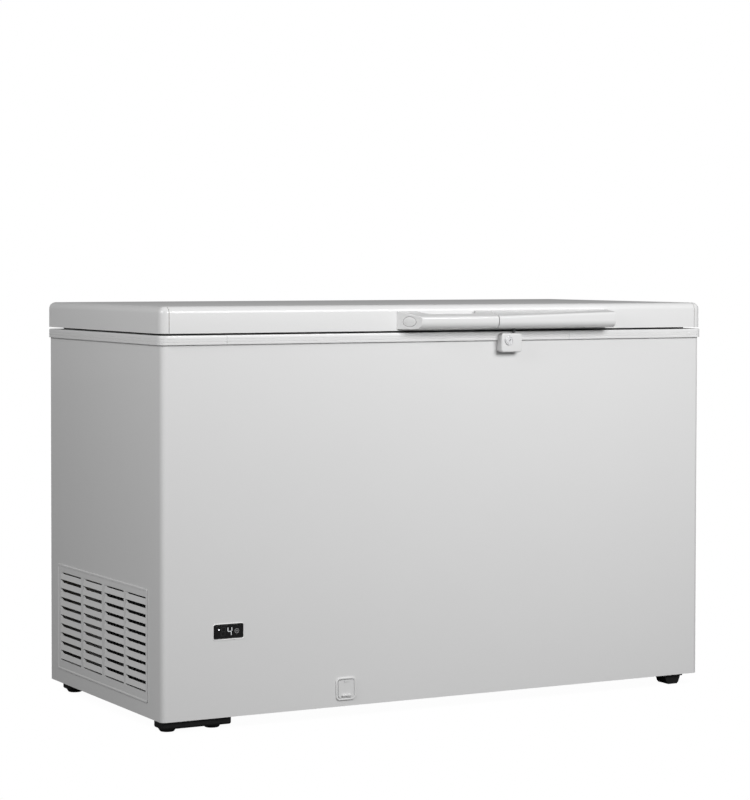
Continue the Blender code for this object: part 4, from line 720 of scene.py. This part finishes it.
window_low, window_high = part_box("controller_window")
window = plate(window_low, window_high, "Y", 0.0017)
key_hole = rod((key_x, window_low.y - 0.01, key_z), (key_x, window_high.y + 0.01, key_z), 0.0054)
window = carved(window, key_hole)
piece("thermostat_window", window, WINDOW_BLACK, "cabinet", "display_window", "controller_window",
      edge=0.0002)


def lit(name, colour, strength):
    """A light guide under the window: its glow varies a little in patches."""
    made = finish(name, colour, tuple(c * 0.8 for c in colour), colour, 0.35, 900.0, 0.00001)
    tree = made.node_tree
    shader = tree.nodes["Principled BSDF"]
    place = node(tree, "ShaderNodeTexCoord").outputs["Object"]
    patch = node(tree, "ShaderNodeTexNoise", {"Vector": place, "Scale": 500.0})
    glow = mixed(tree, patch.outputs["Fac"], (*[c * 0.8 for c in colour], 1.0), (*colour, 1.0))
    tree.links.new(glow, shader.inputs["Emission Color"])
    shader.inputs["Emission Strength"].default_value = strength
    return made


LIT_SEGMENT = lit("lit segment", (0.80, 0.82, 0.84), 0.45)
LIT_DOT = lit("lit dot", (0.95, 0.97, 1.0), 1.6)
DARK_SEGMENT = finish(
    "unlit segment", (0.030, 0.030, 0.032), (0.024, 0.024, 0.026), 0.05, 0.30, 900.0, 0.00001,
)
KEY_GREY = finish("key grey", (0.055, 0.055, 0.057), (0.045, 0.045, 0.047), 0.30, 0.32, 2200.0, 0.00003)
digit_h, digit_w, lean, segment_t, segment_gap = 0.0170, 0.0086, 0.17, 0.0012, 0.0006
proud, buried = 0.00012, 0.00010
glass_y = window_low.y


def segment(centre_x, centre_z, upright):
    length = (digit_h / 4 if upright else digit_w / 2) - segment_gap
    half = (segment_t / 2, length) if upright else (length, segment_t / 2)
    return plate(
        (centre_x - half[0], glass_y - proud, centre_z - half[1]),
        (centre_x + half[0], glass_y + buried, centre_z + half[1]), "Y", 0.0006, 3,
    )


window_z = (bezel_low.z + bezel_high.z) / 2
layout = {
    "a": (0, 0.5, False), "g": (0, 0, False), "d": (0, -0.5, False), "f": (-0.5, 0.25, True),
    "b": (0.5, 0.25, True), "e": (-0.5, -0.25, True), "c": (0.5, -0.25, True),
}
for name, digit_x, material, letters in (
    ("left_digit_unlit", -0.5147, DARK_SEGMENT, "agdfbec"), ("right_digit_lit", -0.5008, LIT_SEGMENT, "bcfg"),
):
    bars = gathered(*[
        segment(digit_x + layout[k][0] * digit_w + layout[k][1] * digit_h * lean,
                window_z + layout[k][1] * digit_h, layout[k][2])
        for k in letters
    ])
    piece(name, bars, material, "cabinet", "display_window")
dot_x, dot_z = -0.5242, window_z + 0.0042
dot = rod((dot_x, glass_y - proud, dot_z), (dot_x, glass_y + buried, dot_z), 0.0013, sides=20)
piece("power_dot", dot, LIT_DOT, "cabinet", "display_window")
surround_ring = facing_front(swept([
    (-0.0022, -0.0002), (-0.0020, 0.0006), (-0.0014, 0.0011), (-0.0007, 0.0008), (-0.0002, -0.0002),
], *bezel_size, 0.0035), front_y)
# The rim is coloured whiter than every other white here, a painted highlight for the bright outline round the
# bezel.
RIM_PAINTED_BRIGHT = finish("rim painted bright", 0.93, 0.90, 0.96, 0.40, 1500.0, 0.00001)
piece("thermostat_surround", surround_ring, RIM_PAINTED_BRIGHT, "cabinet", "white_plastic")
key = rod((key_x, key_low.y, key_z), (key_x, key_high.y, key_z), 0.0052)
rounded_off(key, ends_at(key, lambda p: abs(p.y - key_low.y) < 1e-6), 0.0004, 3)
piece("thermostat_key", key, KEY_GREY, "controller_key", "control_key", "controller_key")
key_ring = rod((key_x, key_low.y - 0.0001, key_z), (key_x, key_low.y + 0.0001, key_z), 0.0047)
key_ring = carved(key_ring, rod((key_x, key_low.y - 0.001, key_z), (key_x, key_low.y + 0.001, key_z), 0.0041))
minus = plate(
    (key_x - 0.0021, key_low.y - 0.0001, key_z - 0.00045),
    (key_x + 0.0021, key_low.y + 0.0001, key_z + 0.00045), "Y", 0.0002, 2,
)
KEY_PRINT = finish("key print", (0.42, 0.42, 0.43), (0.34, 0.34, 0.35), 0.45, 0.45, 2200.0, 0.00002)
piece("key_print", gathered(key_ring, minus), KEY_PRINT, "controller_key", "control_key")
dress(BEZEL_BLACK, "controller_housing")


# ---- machinery: compressor, condenser and fan on the tray, behind the grille ----------------------
# The compressor is a drawn steel can in black stoving enamel on rubber grommets. The condenser is
# copper tube in pressed aluminium fins, and the fan blows across both.
ENAMEL = finish(
    "stoving enamel", (0.018, 0.018, 0.019), (0.030, 0.030, 0.031), 0.09, 0.28, 500.0, 0.00006, coat=0.2,
)
GROMMET = finish("black rubber", (0.025, 0.025, 0.026), (0.045, 0.045, 0.046), 0.07, 0.75, 1500.0, 0.00008)
# The fins are coloured dark grey, far darker than aluminium, as painted shade for the compartment seen
# through the grille.
FINS_PAINTED_DARK = finish(
    "fin aluminium painted dark", (0.20, 0.20, 0.21), 0.12, (0.40, 0.40, 0.41), 0.45, 700.0, 0.00005,
    metallic=1.0, tint_share=0.9,
)
dress(ENAMEL, "compressor_base", "compressor_shell")
dress(GROMMET, *[f"compressor_grommet_{n}" for n in (1, 2, 3, 4)])
dress(BEZEL_BLACK, "compressor_terminal_box", "fan_rotor", "cable_gland")
dress(FINS_PAINTED_DARK, "condenser_fins")
dress(GALVANISED, "fan_shroud", "fan_motor")


# ---- lid: a folded sheet skin, filled with foam, over a moulded white liner -----------------------
# Moulded caps close its four corners, with a fine open seam against the skin. A grey seal sits in
# the liner's channel.
lid_low, lid_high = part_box("lid_skin")
cap_w, cap_seam, cap_swell = 0.018, 0.0005, 0.0005


def lid_form():
    bm = block(lid_low, lid_high)
    rounded_off(bm, running(bm, "Z"), 0.016, 10)
    top = ends_at(bm, lambda p: p.z > lid_high.z - 1e-6)
    return rounded_off(bm, top, 0.0140, 9)


corner_planes = (
    ((lid_low.x + cap_w + cap_seam, 0, 0), (1, 0, 0)), ((lid_high.x - cap_w - cap_seam, 0, 0), (1, 0, 0)),
    ((0, lid_low.y + cap_w + cap_seam, 0), (0, 1, 0)), ((0, lid_high.y - cap_w - cap_seam, 0), (0, 1, 0)),
)
skin = lid_form()
for point, normal in corner_planes:
    split(skin, point, normal)
centre = (lid_low + lid_high) / 2
half_x = (lid_high.x - lid_low.x) / 2 - cap_w - cap_seam
half_y = (lid_high.y - lid_low.y) / 2 - cap_w - cap_seam


def in_a_corner(face):
    middle = face.calc_center_median() - centre
    return abs(middle.x) > half_x and abs(middle.y) > half_y


take_off(skin, lambda f: in_a_corner(f) or f.calc_center_median().z < lid_low.z + 1e-5)
skin = closed_sheet(skin, 0.001, -1.0)
piece("lid_shell", skin, WHITE_PAINT, "lid", "white_steel", "lid_skin")
for end, end_y, normal_y in (
    ("front", lid_low.y + cap_w - cap_seam, 1), ("rear", lid_high.y - cap_w + cap_seam, -1),
):
    for side, cut_x, normal_x in (
        ("left", lid_low.x + cap_w - cap_seam, 1), ("right", lid_high.x - cap_w + cap_seam, -1),
    ):
        cap = lid_form()
        kept_side(cap, (cut_x, 0, 0), (normal_x, 0, 0))
        kept_side(cap, (0, end_y, 0), (0, normal_y, 0))
        for vert in cap.verts:
            if abs(vert.co.x - cut_x) > 1e-5:
                vert.co.x -= cap_swell * normal_x
            if abs(vert.co.y - end_y) > 1e-5:
                vert.co.y -= cap_swell * normal_y
        piece(f"corner_cap_{end}_{side}", cap, COLLAR_WHITE, "lid", "white_plastic", f"lid_cap_{end}_{side}",
              edge=0.0007, angle=40.0)
dress(FITTING_WHITE, "lid_liner")
SEAL_GREY = finish("seal rubber", (0.20, 0.20, 0.205), (0.14, 0.14, 0.145), 0.28, 0.62, 1400.0, 0.00006)
seal_low, seal_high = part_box("lid_gasket")
seal_w = 0.020
seal = swept([
    (0.0015, seal_low.z), (0.0, seal_low.z + 0.0015), (0.0006, seal_low.z + 0.0045),
    (0.0, seal_low.z + 0.0060), (0.0, seal_high.z), (seal_w, seal_high.z), (seal_w, seal_low.z + 0.0060),
    (seal_w - 0.0006, seal_low.z + 0.0045), (seal_w, seal_low.z + 0.0015), (seal_w - 0.0015, seal_low.z),
], (seal_low.x, seal_low.y), (seal_high.x, seal_high.y), 0.010)
piece("lid_seal", seal, SEAL_GREY, "lid", "seal_rubber", "lid_gasket", angle=50.0)


# ---- handle: one long white moulding in two lengths, screwed to the lid's front -------------------
# The grip has a slanted end with an oval screw plug, and a gap behind it for the fingers. The guard
# goes on in line with it, rises a little to its right end and covers the lock.
HANDLE_WHITE = finish("handle white", 0.80, 0.76, 0.90, 0.24, 1300.0, 0.00002, coat=0.25)
grip_low, grip_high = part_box("handle_grip")
guard_low, guard_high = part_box("handle_guard")
handle_back, handle_front = lid_low.y - 0.0003, grip_low.y
rear_top = lid_low.z + 0.0415


def bar(left, right, front_top, front_top_right, end_rake):
    """The handle's section between two ends: flat back, round belly, sloping top."""
    bm = block((left, handle_front, grip_low.z), (right, handle_back, rear_top))
    for v in bm.verts:
        if v.co.z > rear_top - 1e-6 and v.co.y < handle_back - 1e-6:
            v.co.z = front_top if v.co.x < (left + right) / 2 else front_top_right
        if end_rake and v.co.x < left + 1e-6 and v.co.y < handle_back - 1e-6:
            v.co.x += end_rake

    def lengthways(test):
        return [e for e in ends_at(bm, test) if abs(e.verts[0].co.x - e.verts[1].co.x) > 0.1]

    rounded_off(bm, lengthways(lambda p: p.z < grip_low.z + 1e-6 and p.y < handle_back - 1e-6), 0.0150, 14)
    rounded_off(bm, lengthways(lambda p: p.y < handle_front + 1e-6 and p.z > grip_low.z + 0.020), 0.0042, 7)
    return bm


front_top, end_rake = lid_low.z + 0.029, 0.036
grip = bar(grip_low.x, grip_high.x, front_top, front_top, end_rake)
gap_left, gap_right, gap_depth, flank = -0.079, 0.073, 0.0235, 0.017
finger_gap = block(
    (gap_left, lid_low.y - gap_depth, grip_low.z - 0.020), (gap_right, lid_low.y + 0.010, rear_top + 0.020),
)
for v in finger_gap.verts:
    if v.co.y < lid_low.y - gap_depth + 1e-6:
        v.co.x += flank if v.co.x < 0 else -flank
rounded_off(finger_gap, [
    e for e in running(finger_gap, "Z") if e.verts[0].co.y < lid_low.y - gap_depth + 1e-6
], 0.014, 8)
grip = carved(grip, finger_gap)
rake = Vector((end_rake, handle_front - handle_back, 0)).normalized()
outward = Vector((rake.y, -rake.x, 0))
plug_centre = Vector((grip_low.x + 0.018, (lid_low.y + handle_front) / 2, lid_low.z + 0.019))


def oval(grow, inward, outward_by):
    """The screw plug's form, across the slanted end."""
    bm = rod((0, 0, -inward), (0, 0, outward_by), 0.010 + grow, sides=56)
    bmesh.ops.scale(bm, vec=(1.4, 1, 1), verts=bm.verts)
    bmesh.ops.transform(bm, matrix=Matrix.Translation(plug_centre) @ Matrix(
        (rake, Vector((0, 0, 1)), outward)
    ).transposed().to_4x4(), verts=bm.verts)
    return bm


grip = carved(grip, oval(0.0005, 0.006, 0.010))
piece("grip_bar", grip, HANDLE_WHITE, "lid", "handle_plastic", "handle_grip", edge=0.0011, segments=4,
      angle=35.0)
plug = oval(0.0, 0.0057, 0.0004)
bmesh.ops.recalc_face_normals(plug, faces=plug.faces)
rounded_off(plug, [e for e in plug.edges if e.calc_face_angle(0) > 1.2 and (
    e.verts[0].co - plug_centre).dot(outward) > 0], 0.0008, 4)
piece("screw_plug", plug, HANDLE_WHITE, "lid", "handle_plastic", "handle_plug")
guard = bar(guard_low.x, guard_high.x, front_top, lid_low.z + 0.036, 0.0)
keeper_low, keeper_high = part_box("lock_keeper")
guard = carved(guard, block(
    *grown((keeper_low.x, keeper_low.y, grip_low.z - 0.02), keeper_high, (0.0003, 0.002, 0.001)),
))
piece("guard_bar", guard, HANDLE_WHITE, "lid", "handle_plastic", "handle_guard", edge=0.0018, segments=4,
      angle=35.0)


# ---- lock: a white housing on the front, with a satin-plated key barrel ----------------------------
# The barrel turns a cam into the window of a steel strip that hangs from the handle's guard.
lock_low, lock_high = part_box("lock_housing")
barrel_low, barrel_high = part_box("lock_barrel")
barrel_x, barrel_z = 0.142, 0.771
housing = plate(lock_low, lock_high, "Y", 0.007)
rounded_off(housing, ends_at(housing, lambda p: abs(p.y - lock_low.y) < 1e-6), 0.0032, 5)
wall = 0.002
hollow = block(
    (lock_low.x + wall, lock_low.y + wall, lock_low.z + wall),
    (lock_high.x - wall, lock_high.y + 0.01, lock_high.z - wall),
)
over_collar = block(
    (lock_low.x - 0.01, collar_low.y - 0.0003, shell_high.z),
    (lock_high.x + 0.01, lock_high.y + 0.01, lock_high.z + 0.01),
)
keeper_slot = block(
    (keeper_low.x - 0.001, keeper_low.y - 0.001, lock_high.z - 2 * wall),
    (keeper_high.x + 0.001, keeper_high.y + 0.001, lock_high.z + wall),
)
barrel_hole = rod((barrel_x, lock_low.y - 0.01, barrel_z), (barrel_x, lock_low.y + 0.004, barrel_z), 0.0103)
housing = carved(housing, hollow, over_collar, keeper_slot, barrel_hole)
piece("lock_case", housing, HANDLE_WHITE, "cabinet", "handle_plastic", "lock_housing", edge=0.0004,
      angle=40.0)
CHROME = finish(
    "satin chrome", (0.78, 0.78, 0.79), (0.72, 0.72, 0.73), (0.88, 0.88, 0.89), 0.42, 1500.0, 0.00002,
    metallic=0.35,
)
face_y = barrel_low.y
barrel = rod((barrel_x, face_y, barrel_z), (barrel_x, barrel_high.y - 0.001, barrel_z), 0.0100, sides=64)
rounded_off(barrel, ends_at(barrel, lambda p: abs(p.y - face_y) < 1e-6), 0.0008, 4)
moat = carved(
    rod((barrel_x, face_y - 0.001, barrel_z), (barrel_x, face_y + 0.0009, barrel_z), 0.0080, sides=64),
    rod((barrel_x, face_y - 0.002, barrel_z), (barrel_x, face_y + 0.0020, barrel_z), 0.0070, sides=64),
)
keyway = plate((-0.0045, face_y - 0.002, -0.0009), (0.0045, face_y + 0.004, 0.0009), "Y", 0.0008, 4)
key_turn = Matrix.Rotation(math.radians(-35), 3, "Y")
bmesh.ops.rotate(keyway, cent=(0, 0, 0), matrix=key_turn, verts=keyway.verts)
bmesh.ops.translate(keyway, vec=(barrel_x, 0, barrel_z), verts=keyway.verts)
barrel = carved(barrel, moat, keyway)
cam = plate(
    (barrel_x - 0.003, barrel_high.y - 0.003, barrel_low.z),
    (barrel_x + 0.003, barrel_high.y, barrel_z + 0.003), "Y", 0.0028, 6,
)
piece("key_barrel", barrel, CHROME, "lock_barrel", "lock_chrome", "lock_barrel", edge=0.0002, segments=2)
piece("lock_cam", cam, CHROME, "lock_barrel", "bare_steel", edge=0.0003)
dress(GALVANISED, "lock_keeper")


# ---- hinges: zinc-plated steel, two behind the lid -----------------------------------------------
# A leaf with two knuckles is screwed to the cabinet's back, and an arm with one to the lid's.
HINGE_ZINC = zinc_finish("hinge zinc", 300.0, (0.52, 0.53, 0.54), (0.62, 0.63, 0.64))
dress(HINGE_ZINC, "hinge_base_left", "hinge_base_right", "hinge_arm_left", "hinge_arm_right",
      "hinge_pin_left", "hinge_pin_right")


# ---- basket: steel wire, welded and dipped in white plastic --------------------------------------
# Its end rails hang on the collar's ledges, and it slides along them.
def bent(corners, radius, steps=4):
    """A route's points, with a bend of this radius at each inner corner."""
    points = [Vector(corners[0])]
    for before, corner, after in zip(corners, corners[1:], corners[2:]):
        corner = Vector(corner)
        back, onward = (Vector(before) - corner).normalized(), (Vector(after) - corner).normalized()
        half = back.angle(onward) / 2
        heart = corner + (back + onward).normalized() * radius / math.sin(half)
        start = (corner + back * radius / math.tan(half) - heart).normalized()
        end = (corner + onward * radius / math.tan(half) - heart).normalized()
        points += [heart + start.slerp(end, step / steps) * radius for step in range(steps + 1)]
    return points + [Vector(corners[-1])]


def wires(name, routes, radius, material):
    curve = bpy.data.curves.new(name, "CURVE")
    curve.dimensions = "3D"
    curve.bevel_depth = radius
    curve.bevel_resolution = 2
    curve.use_fill_caps = True
    for points in routes:
        spline = curve.splines.new("POLY")
        spline.points.add(len(points) - 1)
        for point, target in zip(points, spline.points):
            target.co = (*point, 1.0)
    curve.materials.append(material)
    obj = bpy.data.objects.new(name, curve)
    bpy.context.scene.collection.objects.link(obj)
    return obj


DIPPED = finish("dipped wire", 0.80, 0.74, 0.86, 0.34, 700.0, 0.00006, coat=0.15)
basket_low, basket_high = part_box("storage_basket")
wire_r = 0.002
rail_out, cross_wires, long_wires = 0.0152, 16, 7
hoop_bend, wire_bend, rail_bend = 0.018, 0.014, 0.010
low = Vector((basket_low.x + wire_r, basket_low.y + rail_out + wire_r, basket_low.z + wire_r))
high = Vector((basket_high.x - wire_r, basket_high.y - rail_out - wire_r, basket_high.z - wire_r))
half_way = (low.x + high.x) / 2
routes = []
for share, grow in ((1.0, 0.0), (0.66, -wire_r), (0.33, -wire_r)):
    z = low.z + (high.z - low.z) * share
    routes.append(bent([
        (half_way, low.y - grow, z), (high.x + grow, low.y - grow, z), (high.x + grow, high.y + grow, z),
        (low.x - grow, high.y + grow, z), (low.x - grow, low.y - grow, z), (half_way, low.y - grow, z),
    ], hoop_bend))
for n in range(1, cross_wires + 1):
    y = low.y + (high.y - low.y) * n / (cross_wires + 1)
    routes.append(bent([
        (low.x, y, high.z), (low.x, y, low.z), (high.x, y, low.z), (high.x, y, high.z),
    ], wire_bend))
for n in range(1, long_wires + 1):
    x = low.x + (high.x - low.x) * n / (long_wires + 1)
    routes.append(bent([
        (x, low.y, high.z), (x, low.y, low.z + wire_r), (x, high.y, low.z + wire_r), (x, high.y, high.z),
    ], wire_bend))
quarter = (high.x - low.x) / 4
for y, out in ((low.y, -rail_out), (high.y, rail_out)):
    routes.append(bent([
        (low.x + quarter, y, high.z), (low.x + quarter, y + out, high.z), (high.x - quarter, y + out, high.z),
        (high.x - quarter, y, high.z),
    ], rail_bend))
basket = wires("wire_basket", routes, wire_r, DIPPED)
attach(basket, "basket")
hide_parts("storage_basket")


# ---- stage: a white floor and surround, with large soft lights ------------------------------------
# The floor is white to the camera, with a painted contact shadow that darkens it a little under the object,
# and throws little light back.
# One light stands high in front, and a weaker one fills in the left side.
def stage_white_with_painted_shadow():
    made, tree = new_material("stage white with painted shadow")
    tree.nodes.clear()
    out = node(tree, "ShaderNodeOutputMaterial")
    # Painted contact shadow: ambient occlusion darkens the floor's white where the object is near.
    painted_contact_shadow = node(tree, "ShaderNodeAmbientOcclusion", {"Distance": 0.05}, samples=16)
    shade = node(tree, "ShaderNodeMapRange", {
        "Value": painted_contact_shadow.outputs["AO"], "From Min": 0.0, "From Max": 0.7, "To Min": 0.97, "To Max": 1.0,
    })
    grey = node(tree, "ShaderNodeCombineColor", {channel: shade.outputs[0] for channel in range(3)})
    seen = node(tree, "ShaderNodeEmission", {"Color": grey.outputs[0], "Strength": 1.0})
    bounce = node(tree, "ShaderNodeBsdfDiffuse", {"Color": (0.15, 0.15, 0.15, 1.0)})
    path = node(tree, "ShaderNodeLightPath")
    both = node(tree, "ShaderNodeMixShader", {
        0: path.outputs["Is Camera Ray"], 1: bounce.outputs[0], 2: seen.outputs[0],
    })
    tree.links.new(both.outputs[0], out.inputs["Surface"])
    return made


floor = bmesh.new()
bmesh.ops.create_grid(floor, x_segments=1, y_segments=1, size=14.0)
floor_obj = as_object(floor, "floor")
floor_obj.data.materials.append(stage_white_with_painted_shadow())

world = bpy.data.worlds.new("surround")
bpy.context.scene.world = world
world.use_nodes = True
surround = world.node_tree
surround.nodes.clear()
world_out = node(surround, "ShaderNodeOutputWorld")
to_camera, to_object = (
    node(surround, "ShaderNodeBackground", {"Color": (1.0, 1.0, 1.0, 1.0), "Strength": strength})
    for strength in (1.0, 0.22)
)
rays = node(surround, "ShaderNodeLightPath")
chosen = node(surround, "ShaderNodeMixShader", {
    0: rays.outputs["Is Camera Ray"], 1: to_object.outputs[0], 2: to_camera.outputs[0],
})
surround.links.new(chosen.outputs[0], world_out.inputs["Surface"])


def soft_light(name, place, target, width, height, power):
    data = bpy.data.lights.new(name, "AREA")
    data.shape = "RECTANGLE"
    data.size = width
    data.size_y = height
    data.energy = power
    lamp = bpy.data.objects.new(name, data)
    bpy.context.scene.collection.objects.link(lamp)
    lamp.location = place
    lamp.rotation_mode = "QUATERNION"
    lamp.rotation_quaternion = (Vector(target) - Vector(place)).to_track_quat("-Z", "Y")


soft_light("key", (0.6, -2.5, 1.72), (0.1, -0.3, 0.62), 1.6, 0.9, 53.5)
soft_light("left fill", (-2.6, -0.9, 1.7), (-0.65, 0.0, 0.60), 1.4, 1.0, 27.0)
